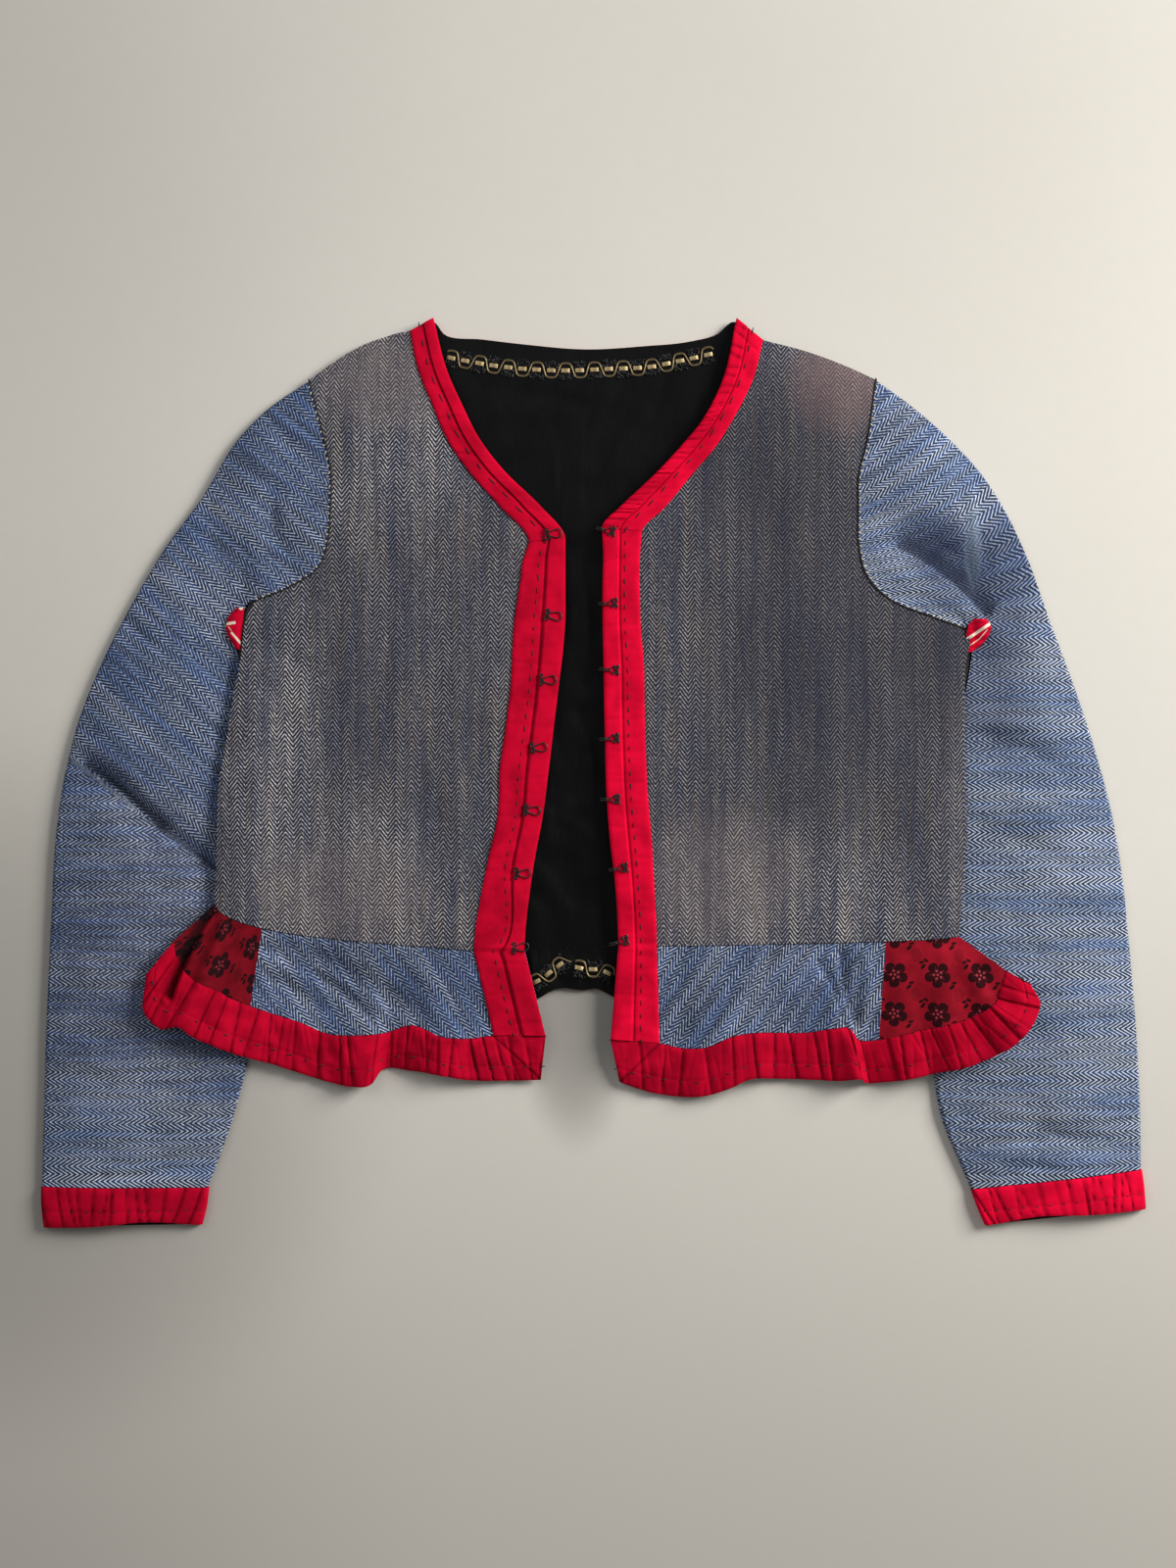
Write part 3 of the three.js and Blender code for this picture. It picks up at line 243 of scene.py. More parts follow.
BODY_CREASES = [
    (-240, 88, -196, 70, 1.5, 7, 5, 1), (-236, 66, -206, 34, 1.0, 8, 4, 1),
    (-228, 100, -186, 104, -1.2, 7, 3, 1), (-244, -40, -214, 30, 0.8, 9, 5, 1),
    (-120, 170, -112, -80, 0.7, 13, 6, 1), (-168, 120, -160, -90, -0.6, 16, 5, 1),
    (-186, 210, -150, 150, 0.9, 12, 6, 1), (-150, 60, -146, -100, 0.5, 9, -4, 1),
    (250, 80, 206, 64, 1.2, 8, 5, 1), (250, 60, 214, 30, 0.9, 8, 5, 1),
    (226, 98, 190, 92, -1.0, 8, 3, 1), (246, -30, 222, 40, 0.8, 9, -5, 1),
    (196, 150, 190, 30, -0.6, 12, 6, 1), (110, 180, 116, -90, 0.7, 14, -6, 1),
    (158, 120, 150, -100, -0.5, 16, 5, 1), (66, 120, 72, -90, 0.5, 10, 4, 1),
    (180, 216, 158, 170, 0.8, 10, 5, 1), (244, -60, 200, -96, 0.8, 8, 4, 1),
]
SKIRT_CREASES = [
    (-282, -150, -256, -92, 6.5, 1.7, 2, 4.5), (-268, -160, -249, -106, -1.6, 5, 0, 1),
    (-222, -118, -150, -166, 2.8, 2.6, 4, 2.6), (-206, -118, -132, -160, 2.0, 3.0, 3, 2.4),
    (-186, -122, -120, -160, 1.3, 4.0, 3, 1.6), (-216, -140, -186, -160, 1.8, 2.6, 2, 2),
    (-150, -124, -112, -150, 0.6, 5, 2, 1), (-112, -130, -90, -166, 0.5, 5, 2, 1),
    (166, -122, 177, -170, 3.4, 2.0, -2, 3.0), (152, -130, 170, -172, 1.8, 2.6, 3, 2),
    (184, -126, 180, -176, -1.6, 4, 2, 1), (120, -122, 98, -168, 1.1, 5, 4, 1.4),
    (96, -122, 80, -160, 0.5, 6, 3, 1), (140, -124, 128, -166, 0.6, 6, -3, 1),
    (60, -128, 56, -172, 0.5, 5, 2, 1), (196, -120, 190, -170, 0.6, 5, 2, 1),
]
LINING_CREASES = [
    (-44, 254, -6, 246, 1.1, 2.2, 2, 2.4), (-22, 214, -24, -60, 0.8, 1.3, 0, 2),
    (-9, 246, -8, 60, -0.5, 1.2, 0, 1),
    (-30, -20, -18, -68, 0.9, 2, 4, 2), (-60, 262, -20, 226, 0.6, 6, 4, 1),
    (-40, 250, -28, 190, -0.5, 7, 4, 1), (20, 256, 4, 200, 0.7, 6, -4, 1),
    (50, 262, 20, 214, 0.6, 6, 4, 1), (-14, 150, 2, 96, 0.8, 5, 3, 1.4),
    (-20, 110, -4, 60, 0.7, 4, -3, 1.4), (-10, 40, 6, -8, 1.2, 3.2, 3, 1.6),
    (-26, -30, 6, -52, -0.8, 3, 3, 1),
    (-28, 30, -14, -14, 0.8, 4, 3, 1.6), (-34, -60, -8, -100, 1.4, 4, 3, 1.8),
    (-20, -64, 8, -96, 1.2, 4, -3, 1.8), (-38, -84, -16, -122, 1.3, 4, 3, 1.6),
    (4, -76, 12, -120, 1.2, 4, 2, 1.6), (-80, 266, -64, 240, 0.6, 5, 3, 1),
]

# Where each sleeve's slanting bands turn level: x, y, the line's upward normal, how wide the
# turn is and the slant in degrees.
ELBOWS = {
    "left": (-300, -31, 0.6, 0.8, 1.8, 40), "right": (250, 150, 0.0, 1.0, 130.0, 38),
}

EYES = [
    (-26.4, 160.4, 6), (-26.4, 105.2, -10), (-30, 62, 0), (-36.1, 16.6, 4),
    (-40.6, -25.7, -6), (-46.9, -68, 0), (-48.6, -117.7, 8),
]
HOOKS = [
    (9.2, 162.5, -12), (10.9, 113.5, 4), (11.7, 68.9, -3), (11.7, 22.6, 5),
    (12.4, -18.3, 0), (17.8, -64.7, 8), (18.2, -114, 14),
]
NECK_BRAID = np.array([
    (-99, 281), (-81.4, 277.5), (-66, 275), (-51, 273.2), (-36, 272.2), (-20.8, 271.6),
    (-6, 271.9), (7.8, 272.6), (23, 273.2), (38.1, 274.1), (54.8, 277.5), (69, 280.5),
    (82, 283.5),
])
HEM_BRAID_LEFT = np.array([
    (-41, -143), (-33, -138.5), (-27, -133.5), (-21.5, -129.5), (-17.5, -125),
])
HEM_BRAID_RIGHT = np.array([(-12.5, -131.5), (-4.3, -133), (4.6, -133.5), (14, -137.5)])

# ---- curves and fields ---------------------------------------------------------------------
_low, _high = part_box("front_left")
SHIFT = np.array([
    _low.x / MM - FRONT_LEFT[:, 0].min(), _high.y / MM - FRONT_LEFT[:, 5].max(), 0.0,
])


def spline(table, rows):
    """A smooth curve through a table's rows, read at row numbers that may be fractions."""
    table = np.asarray(table, float)
    table = table.reshape(len(table), -1)
    gaps = np.maximum(np.linalg.norm(np.diff(table, axis=0), axis=1), 1e-6)[:, None]
    slopes = np.diff(table, axis=0) / gaps
    middle = (slopes[:-1] * gaps[1:] + slopes[1:] * gaps[:-1]) / (gaps[1:] + gaps[:-1])
    tangents = np.vstack([slopes[:1], middle, slopes[-1:]])
    rows = np.asarray(rows, float)
    i = np.clip(rows.astype(int), 0, len(table) - 2)
    f, gap = (rows - i)[:, None], gaps[i]
    return (
        (2 * f**3 - 3 * f**2 + 1) * table[i] + (f**3 - 2 * f**2 + f) * gap * tangents[i]
        + (3 * f**2 - 2 * f**3) * table[i + 1] + (f**3 - f**2) * gap * tangents[i + 1]
    )


def even_rows(table, step, first=0.0, last=None):
    """Row numbers at even distances of about `step` along a table's curve."""
    last = len(table) - 1 if last is None else last
    rows = np.linspace(first, last, 400)
    lengths = arc_length(spline(table, rows))
    count = max(2, int(round(lengths[-1] / step)) + 1)
    return np.interp(np.linspace(0, lengths[-1], count), lengths, rows)


def arc_length(points):
    """Distance along a line of points, from 0."""
    return np.concatenate([[0], np.cumsum(np.linalg.norm(np.diff(points, axis=0), axis=1))])


def down_column(x, y, column):
    """Distance along one column of a grid of plan points, as a column."""
    return arc_length(np.stack([x[:, column], y[:, column]], axis=1))[:, None]


def lookup(keys, values):
    """A function that reads values against keys, held level past the ends."""
    order = np.argsort(keys)
    return lambda key: np.interp(key, np.asarray(keys)[order], np.asarray(values)[order])


def smooth(t):
    """A soft step from 0 to 1."""
    t = np.clip(t, 0, 1)
    return t * t * (3 - 2 * t)


def mix(a, b, t):
    """Part of the way from a to b."""
    return a + (b - a) * t


def between(table, u, first=0):
    """Plan points from a table's x, y in columns from `first` to the x, y that follow them."""
    x0, y0, x1, y1 = (table[:, n:n + 1] for n in range(first, first + 4))
    return mix(x0, x1, u), mix(y0, y1, u)


def breadth(ends):
    """The distance between the two points of each row."""
    return np.hypot(ends[:, 0:1] - ends[:, 2:3], ends[:, 1:2] - ends[:, 3:4])


def troughs(creases, x, y):
    """How far a list of creases lowers the cloth at plan points."""
    total = np.zeros(np.broadcast(x, y).shape)
    for x0, y0, x1, y1, depth, width, bend, lean in creases:
        run = np.array([x1 - x0, y1 - y0], float)
        length = np.hypot(*run)
        along = ((x - x0) * run[0] + (y - y0) * run[1]) / length**2
        t = np.clip(along, 0, 1)
        side = ((x - x0) * -run[1] + (y - y0) * run[0]) / length - bend * 4 * t * (1 - t)
        beyond = (along - t) * length
        wide = np.where(side > 0, width * lean, width)
        total += depth * np.exp(-((side / wide) ** 2) - (beyond / (width * 1.6)) ** 2)
    return total


def ripples(x, y, seed, wavelength, height, stretch=1.0):
    """Soft uneven ground made of waves in many directions, longer along Y by `stretch`."""
    random = np.random.default_rng(seed)
    total = np.zeros(np.broadcast(x, y).shape)
    for _ in range(16):
        angle, phase = random.uniform(0, 2 * math.pi, 2)
        size = wavelength * random.uniform(0.6, 1.7)
        total += np.sin(
            (x * math.cos(angle) + y * math.sin(angle) / stretch) * 2 * math.pi / size + phase
        )
    return total * height / 4


def gathers(arc, across, seed, spacing, depth, width, slant=0.25, fade=0.35):
    """Grooves across a gathered band: arc runs along it in mm, across from 0 to 1."""
    random = np.random.default_rng(seed)
    total = np.zeros(np.broadcast(arc, across).shape)
    place, end = float(np.min(arc)) - 4, float(np.max(arc)) + 4
    while place < end:
        place += random.uniform(0.35, 1.75) * spacing
        lean = random.uniform(-slant, slant) * BAND_WIDTH
        deep = depth * random.uniform(0.3, 1.25)
        wide = width * random.uniform(0.6, 1.5)
        from_top = random.random() < 0.5
        reach = random.uniform(0.3, 1.0)
        part = across if from_top else 1 - across
        mask = 1 - smooth((part - reach) / fade)
        off = arc - place - lean * (across - 0.5)
        total += deep * mask * np.exp(-((off / wide) ** 2))
    return total


def panels(arc, across, seed, spacing, height, slant=0.2, sharp=6.0):
    """Rounded puffs side by side along a gathered band, parted by narrow creases.

    Returns the puffs' height and, from 0 to 1, how deep in a crease each point lies.
    """
    random = np.random.default_rng(seed)
    place, end = float(np.min(arc)) - spacing, float(np.max(arc)) + spacing
    puff, crease = (np.zeros(np.broadcast(arc, across).shape) for _ in range(2))
    lean = 0.0
    while place < end:
        wide = random.uniform(0.5, 1.6) * spacing
        next_lean = random.uniform(-slant, slant) * BAND_WIDTH
        left = place + lean * (across - 0.5)
        right = place + wide + next_lean * (across - 0.5)
        from_middle = np.abs(2 * (arc - left) / np.maximum(right - left, 0.6) - 1)
        here = from_middle < 1
        rim = np.where(here, from_middle, 0) ** (sharp * random.uniform(0.7, 1.3))
        puff = np.where(here, height * random.uniform(0.5, 1.15) * (1 - rim), puff)
        crease = np.where(here, rim * random.uniform(0.5, 1.0), crease)
        place, lean = place + wide, next_lean
    return puff, crease


# ---- how high the cloth lies ---------------------------------------------------------------
class Half:
    """One side of the jacket: its tables and the heights that follow from them."""

    def __init__(self, name, sign, front, skirt, sleeve, cuff, gusset, underarm, sag, rise):
        self.name, self.sign, self.front, self.skirt = name, sign, front, skirt
        self.sleeve, self.cuff, self.gusset = sleeve, cuff, gusset
        self.underarm, self.sag, self.rise = underarm, sag, rise
        fold = spline(sleeve[:, 2:], np.linspace(0, len(sleeve) - 1, 300))
        self.fold_x = lookup(fold[:, 1], fold[:, 0])
        side = spline(front[:underarm + 1, :2], np.linspace(0, underarm, 200))
        self.side_x = lookup(side[:, 1], side[:, 0])
        edge = front[:, 4:]
        self.edge_x = lookup(edge[:, 1], edge[:, 0])
        self.armhole = front[underarm:, :2][::-1]

    def inside_sleeve(self, x, y):
        return self.sign * (x - self.fold_x(y))

    def rest(self, x, y):
        """The height of what lies on the table or, near the side, on the sleeve."""
        inside = self.inside_sleeve(x, y)
        below_armhole = smooth((ARMHOLE_TOP - y) / ARMHOLE_FADE)
        fold = FOLD_HEIGHT + OVER_CLEARANCE
        over = fold + SLEEVE_RISE * inner_rise(inside)
        ramp = fold * np.maximum(0, 1 + np.minimum(inside, 0) / REST_RAMP) ** 1.6
        return below_armhole * np.where(inside >= 0, over, ramp)

    def hollow(self, x, y):
        """The room between a front and the lining."""
        side_x, side_y, _, _, edge_x, edge_y = self.front[-1]
        slope = (edge_y - side_y) / (edge_x - side_x)
        below = (side_y + slope * (x - side_x) - y) * 0.9
        from_side = self.sign * (self.side_x(y) - x)
        from_edge = self.sign * (x - self.edge_x(y))
        close_side = 1 - np.exp(-np.maximum(0, from_side) / 20)
        close_top = 1 - np.exp(-np.maximum(0, below) / 18)
        droop = 0.6 + 0.4 * (1 - np.exp(-np.maximum(0, from_edge) / 40))
        return HOLLOW * close_side * close_top * droop

    def under_front(self, x, y):
        """The underside of a front, with its creases."""
        calm = 1 - np.exp(-np.maximum(0, self.sign * (self.side_x(y) - x)) / 25)
        room = self.hollow(x, y)
        relief = troughs(BODY_CREASES, x, y) - ripples(x, y, 5, 42, 0.28, 2.2)
        return self.rest(x, y) + LAYERS + np.maximum(0, room - relief * calm)


def inner_rise(inside):
    """How fast a sleeve rises from its inner fold."""
    return np.where(inside > 0, 1 - np.maximum(0, 1 - np.maximum(inside, 0) / 90) ** 1.6, 0)


HALVES = (
    Half("left", -1, FRONT_LEFT, SKIRT_LEFT, SLEEVE_LEFT, CUFF_LEFT, GUSSET_LEFT, 8, 11, 6),
    Half("right", 1, FRONT_RIGHT, SKIRT_RIGHT, SLEEVE_RIGHT, CUFF_RIGHT, GUSSET_RIGHT, 7, 2, 3),
)


def back_height(x, y):
    """The underside of the back."""
    left, right = HALVES
    return np.where(x < 0, left.rest(x, y), right.rest(x, y))


def front_plan(half, rows, u):
    """Plan points of a front's cloth from the side (u 0) to the facing's outer edge (u 1)."""
    table = spline(half.front, rows)
    sag = half.sag * np.maximum(0, 1 - rows * 0.45)
    rise = half.rise * np.clip(rows - (len(half.front) - 2), 0, 1)
    x, y = between(table, u)
    bow = rise[:, None] * np.sin(np.pi * u) - sag[:, None] * np.sin(np.pi * np.sqrt(u))
    return x, y + bow


_waist = [front_plan(half, np.zeros(1), np.linspace(0, 1, 60)[None]) for half in HALVES]
waist_y = lookup(
    np.concatenate([x[0] for x, _ in _waist]), np.concatenate([y[0] for _, y in _waist])
)


def down_skirt(table, t):
    """Plan points down skirt sections: t 0 at the waist, 1 at the hem band, 2 at the low edge."""
    waist = table[..., 0]
    top_y = waist_y(waist) - GAP - WAIST_EASE
    upper, lower = np.clip(t, 0, 1), np.clip(t - 1, 0, 1)
    x = mix(mix(waist, table[..., 1], upper), table[..., 3], lower)
    y = mix(mix(top_y, table[..., 2], upper), table[..., 4], lower)
    return x, y, upper, lower


def skirt_point(half, rows, t):
    """Points down the front skirt's sections, with its creases; t is as in down_skirt."""
    table = spline(half.skirt, rows)[:, None, :]
    waist, lift = table[..., 0], np.maximum(table[..., 5], 0.5)
    x, y, upper, lower = down_skirt(table, t)
    room = half.hollow(waist, waist_y(waist)) + LAYERS
    at_hem = LAYERS + HEM - CLOTH + 0.5 + lift * 0.5
    height = np.where(
        t <= 1, mix(room, at_hem, smooth(upper)), mix(at_hem, lift + 0.4, lower)
    )
    calm = smooth(upper / 0.12) * (1 - 0.7 * lower)
    room = np.maximum(0, height - LAYERS + 1)
    height = height - calm * np.minimum(troughs(SKIRT_CREASES, x, y), room)
    height = height + calm * ripples(x, y, 9, 24, 0.22)
    return x, y, half.rest(x, y) + height


# ---- meshes --------------------------------------------------------------------------------
def place(obj, *nodes, slot=None):
    """A finished piece rides on the jacket's one body and stands for its CAD nodes."""
    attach(obj, "root")
    if nodes:
        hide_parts(*nodes)
    return obj


def make_object(name, points, faces, materials, face_slots=None, uv=None, crisp=50,
                groove=None):
    """A mesh object from points in mm, with smooth faces and sharp rims."""
    mesh = bpy.data.meshes.new(name)
    flat = (np.asarray(points, float).reshape(-1, 3) + SHIFT) * MM
    faces = np.asarray(faces, np.int64)
    mesh.vertices.add(len(flat))
    mesh.vertices.foreach_set("co", flat.astype(np.float32).ravel())
    corners = faces.shape[1]
    mesh.loops.add(faces.size)
    mesh.loops.foreach_set("vertex_index", faces.ravel().astype(np.int32))
    mesh.polygons.add(len(faces))
    mesh.polygons.foreach_set("loop_start", np.arange(0, faces.size, corners, dtype=np.int32))
    mesh.polygons.foreach_set("use_smooth", np.ones(len(faces), bool))
    for material in materials:
        mesh.materials.append(material)
    if face_slots is not None:
        mesh.polygons.foreach_set("material_index", np.asarray(face_slots, np.int32))
    if uv is not None:
        layer = mesh.uv_layers.new(name="Cloth")
        spread = np.asarray(uv, float).reshape(-1, 2)[faces.ravel()] * MM
        layer.uv.foreach_set("vector", spread.astype(np.float32).ravel())
    if groove is not None:
        depth = mesh.attributes.new("Groove", "FLOAT", "POINT")
        depth.data.foreach_set("value", np.asarray(groove, np.float32).ravel())
    mesh.update(calc_edges=True)
    mesh.validate()
    mesh.set_sharp_from_angle(angle=math.radians(crisp))
    obj = bpy.data.objects.new(name, mesh)
    bpy.context.scene.collection.objects.link(obj)
    return obj


def grid_faces(rows, columns, start=0, round_it=False):
    """Quads of a grid of points, closed round its columns where asked."""
    i, j = np.meshgrid(
        np.arange(rows - 1), np.arange(columns if round_it else columns - 1), indexing="ij"
    )
    i, j = i.ravel(), j.ravel()
    k = (j + 1) % columns
    return np.stack([
        start + i * columns + j, start + i * columns + k,
        start + (i + 1) * columns + k, start + (i + 1) * columns + j,
    ], axis=1)


def outward(points, faces):
    """Faces turned so that a closed mesh's volume is positive."""
    a, b, c, d = (points[faces[:, n]] for n in range(4))
    volume = np.einsum("ij,ij->", a, np.cross(b, c)) + np.einsum("ij,ij->", a, np.cross(c, d))
    return faces if volume > 0 else faces[:, ::-1]


def shell(name, top, thickness, uv, outside, inside=None, face_material=None, materials=(),
          groove=None):
    """A closed wall of cloth under a grid of points (rows, columns, 3)."""
    rows, columns = top.shape[:2]
    under = top.copy()
    under[..., 2] -= thickness
    points = np.concatenate([top.reshape(-1, 3), under.reshape(-1, 3)])
    size = rows * columns
    upper = grid_faces(rows, columns)
    lower = grid_faces(rows, columns, size)[:, ::-1]
    ring = np.concatenate([
        np.arange(columns), (np.arange(1, rows) + 1) * columns - 1,
        (rows - 1) * columns + np.arange(columns - 2, -1, -1),
        np.arange(rows - 2, 0, -1) * columns,
    ])
    following = np.roll(ring, -1)
    rim = np.stack([ring, ring + size, following + size, following], axis=1)
    faces = np.concatenate([upper, lower, rim])
    turned = outward(points, faces)
    slots = np.concatenate([
        np.zeros(len(upper), int), np.full(len(lower), 1 if inside else 0),
        np.zeros(len(rim), int),
    ])
    if face_material is not None:
        centres = points[faces].mean(axis=1)
        slots = np.where(np.arange(len(faces)) < len(upper), face_material(centres), slots)
    both = np.concatenate([uv.reshape(-1, 2)] * 2)
    listed = [outside] + ([inside] if inside else []) + list(materials)
    depth = None if groove is None else np.concatenate([groove.ravel()] * 2)
    return make_object(name, points, turned, listed, slots, both, groove=depth)


def tube(name, outer, inner, uv, outside, inside, groove=None):
    """A closed wall of cloth between two stacks of rings, open at both ends."""
    rows, columns = outer.shape[:2]
    size = rows * columns
    points = np.concatenate([outer.reshape(-1, 3), inner.reshape(-1, 3)])
    skin = grid_faces(rows, columns, 0, True)
    core = grid_faces(rows, columns, size, True)[:, ::-1]
    j = np.arange(columns)
    k = (j + 1) % columns
    last = (rows - 1) * columns
    near = np.stack([j, j + size, k + size, k], axis=1)
    far = np.stack([last + j, last + k, last + k + size, last + j + size], axis=1)
    faces = np.concatenate([skin, core, near, far])
    slots = np.concatenate([np.zeros(len(skin)), np.ones(len(core)), np.zeros(2 * columns)])
    both = np.concatenate([uv.reshape(-1, 2)] * 2)
    depth = None if groove is None else np.concatenate([groove.ravel()] * 2)
    return make_object(name, points, outward(points, faces), [outside, inside], slots, both,
                       groove=depth)


def cut(obj, grid, fullness=1.0):
    """Declares a cloth piece by the size and area that its grid of points was cut to."""
    across = np.linalg.norm(np.diff(grid, axis=1), axis=-1).sum(axis=1).max() * MM
    along = np.linalg.norm(np.diff(grid, axis=0), axis=-1).sum(axis=0).max() * MM
    across, along = across * fullness, along * 1.01


def cloth_piece(name, top, wall, uv, slot, outside=None, inside=None, held="laid", rests_on=(),
                fullness=1.0, **looks):
    """A wall of cloth under a grid of points, which stands for the CAD node of its name."""
    outer = finish_for(outside or slot)
    inner = finish_for(inside) if inside else None
    obj = shell(name, top, wall, uv, outer, inner, **looks)
    cut(place(obj, name, slot=slot), top, fullness)


# ---- materials -----------------------------------------------------------------------------
def math_node(operation, swapped=False):
    """A method that adds one kind of Math node to a value's tree."""

    def run(self, *others):
        values = (*others, self) if swapped else (self, *others)
        return self.through("ShaderNodeMath", {"operation": operation}, *values)

    return run


class Value:
    """A number in a node tree that adds Math nodes when Python's operators are used on it."""

    def __init__(self, nodes, socket):
        self.nodes, self.socket = nodes, socket

    def through(self, kind, settings, *values):
        """The first output of a new node whose inputs are fed in order."""
        node = self.nodes.node(kind, settings)
        for slot, value in zip(node.inputs, values):
            self.nodes.feed(slot, value)
        return Value(self.nodes, node.outputs[0])

    __add__ = __radd__ = math_node("ADD")
    __sub__, __rsub__ = math_node("SUBTRACT"), math_node("SUBTRACT", True)
    __mul__, __truediv__ = math_node("MULTIPLY"), math_node("DIVIDE")
    __pow__, __abs__, __gt__ = map(math_node, ("POWER", "ABSOLUTE", "GREATER_THAN"))
    sin, cos, fract, root = map(math_node, ("SINE", "COSINE", "FRACT", "SQRT"))
    atan2, least, most = map(math_node, ("ARCTAN2", "MINIMUM", "MAXIMUM"))

    def step(self, low, high):
        """A soft step from 0 at low to 1 at high."""
        settings = {"interpolation_type": "SMOOTHSTEP"}
        return self.through("ShaderNodeMapRange", settings, self, low, high, 0.0, 1.0)


class Nodes:
    """A node tree under construction."""

    def __init__(self, tree):
        self.tree = tree

    def feed(self, slot, value):
        """Links or sets one input."""
        if isinstance(value, Value):
            value = value.socket
        if isinstance(value, bpy.types.NodeSocket):
            self.tree.links.new(value, slot)
        else:
            slot.default_value = value

    def node(self, kind, settings=None, **inputs):
        """A node with its settings made first and its inputs fed by name."""
        node = self.tree.nodes.new(kind)
        for key, value in (settings or {}).items():
            setattr(node, key, value)
        for key, value in inputs.items():
            self.feed(node.inputs[key.replace("_", " ")], value)
        return node


class Finish(Nodes):
    """A material under construction."""

    def __init__(self, name, colour=(0.5, 0.5, 0.5), roughness=0.8, metallic=0.0):
        self.material = bpy.data.materials.new(name)
        self.material.use_nodes = True
        super().__init__(self.material.node_tree)
        self.surface = self.tree.nodes["Principled BSDF"]
        self.set("Base Color", (*colour, 1.0))
        self.set("Roughness", roughness)
        self.set("Metallic", metallic)
        self.set("Specular IOR Level", 0.3)

    def set(self, name, value):
        self.feed(self.surface.inputs[name], value)

    def plan(self, place):
        """The first two parts of a place, in mm."""
        parts = self.node("ShaderNodeSeparateXYZ", Vector=place)
        return tuple(Value(self, parts.outputs[n]) * 1000.0 for n in range(2))

    def cloth(self):
        """The piece's own cloth coordinates in mm: (u, v)."""
        return self.plan(self.node("ShaderNodeUVMap", {"uv_map": "Cloth"}).outputs[0])

    def lay(self):
        """Where a point of the laid-out jacket is, in mm: (x, y)."""
        return self.plan(self.node("ShaderNodeTexCoord").outputs["Object"])

    def groove(self):
        """How deep in a crease a point lies, from 0 to 1, stored with the mesh."""
        node = self.node("ShaderNodeAttribute", {"attribute_name": "Groove"})
        return Value(self, node.outputs["Fac"])

    def noise(self, x, y, detail, z=0.0):
        """Noise from about 0 to 1, about one wave to a unit of x or y."""
        place = self.node("ShaderNodeCombineXYZ", X=x, Y=y, Z=z).outputs[0]
        node = self.node("ShaderNodeTexNoise", Vector=place, Scale=1.0, Detail=detail)
        return Value(self, node.outputs["Fac"])

    def blend(self, factor, a, b):
        """A colour part of the way from a to b."""
        node = self.node("ShaderNodeMix", {"data_type": "RGBA", "clamp_factor": True})
        for slot, value in ((0, factor), (6, a), (7, b)):
            self.feed(node.inputs[slot], (*value, 1.0) if isinstance(value, tuple) else value)
        return node.outputs[2]

    def bump(self, height, distance, strength):
        node = self.node(
            "ShaderNodeBump", Height=height, Distance=distance * MM, Strength=strength
        )
        self.set("Normal", node.outputs[0])


def spot(x, y, place, size):
    """A soft round patch, 1 in its middle."""
    dx, dy = (x - place[0]) / size[0], (y - place[1]) / size[1]
    return 1 - (dx * dx + dy * dy).step(0.0, 1.0)


def herringbone(name, colours, across_first, band, turn, pitch, patches=(), lift=1.0, base=1.0,
                bright=()):
    """Woven zigzag: bands `band` wide whose threads lie `turn` degrees off the bands.

    across_first is True where the bands run along v, and pitch is the distance between two
    threads. patches are (place, size, strength, colour) of worn or handled cloth. Pale threads
    show at strength `base`, and at full strength in the `bright` places.
    """
    finish = Finish(name, roughness=0.9)
    u, v = finish.cloth()
    across, along = (u, v) if across_first else (v, u)
    wander = finish.noise(across * 0.03, along * 0.012, 2.0)
    shake = finish.noise(across * 0.05, along * 0.05, 1.0, 4.0)
    across = across + (wander - 0.5) * 4.0
    turns = (across / (2.0 * band)).fract()
    zigzag = abs(turns - 0.5) * 2.0
    slope = band / math.tan(math.radians(turn))
    along_pitch = pitch / math.sin(math.radians(turn))
    phase = (along + zigzag * slope + (shake - 0.5) * 2.0) / along_pitch
    wave = (phase * (2 * math.pi)).sin() * 0.5 + 0.5
    thread = wave.step(0.62, 0.84)
    fleck = finish.noise(across * 0.7, along * 0.7, 2.0, 9.0)
    mottle = finish.noise(across * 0.12, along * 0.07, 3.0, 2.0)
    streak = finish.noise(across * 0.34, along * 0.016, 3.0, 7.0)
    broad = finish.noise(across * 0.05, along * 0.007, 2.0, 5.0)
    deep, brown, light, blue = (colours[key] for key in ("deep", "brown", "light", "blue"))
    dark = finish.blend(streak.step(0.44, 0.64), deep, brown)
    pale = finish.blend((fleck * 0.5 + broad * 0.5).step(0.38, 0.58), blue, light)
    # Painted sheen: every other band of the zigzag shows its pale threads more strongly, as if its
    # threads caught the light
    side = 0.9 + (turns > 0.5) * 0.2
    amount = thread * (0.4 + fleck.step(0.34, 0.64) * 0.75) * (0.5 + mottle)
    amount = amount * (0.5 + streak) * (0.6 + broad * 0.8) * side * lift
    x, y = finish.lay()
    # Worn cloth on the body, and painted light on the sleeves, let the pale threads show at full
    # strength
    if bright:
        level = None
        for place, size in bright:
            patch = spot(x, y, place, size)
            level = patch if level is None else level.most(patch)
        amount = amount * (level * (1 - base) + base)
    else:
        amount = amount * base
    colour = finish.blend(amount, dark, pale)
    # The patches blend in worn and stained cloth, painted shade and a painted highlight; worn here
    # holds any patch's colour
    for place, size, strength, worn in patches:
        amount = spot(x, y, place, size) * strength * (0.4 + mottle)
        colour = finish.blend(amount, colour, worn)
    # Painted shade: the cloth darkens deep in its creases
    colour = finish.blend(finish.groove() * 0.7, colour, tuple(c * 0.4 for c in colours["deep"]))
    finish.set("Base Color", colour)
    finish.bump(wave * 0.6 + fleck * 0.4, 0.5, 0.8)
    return finish.material


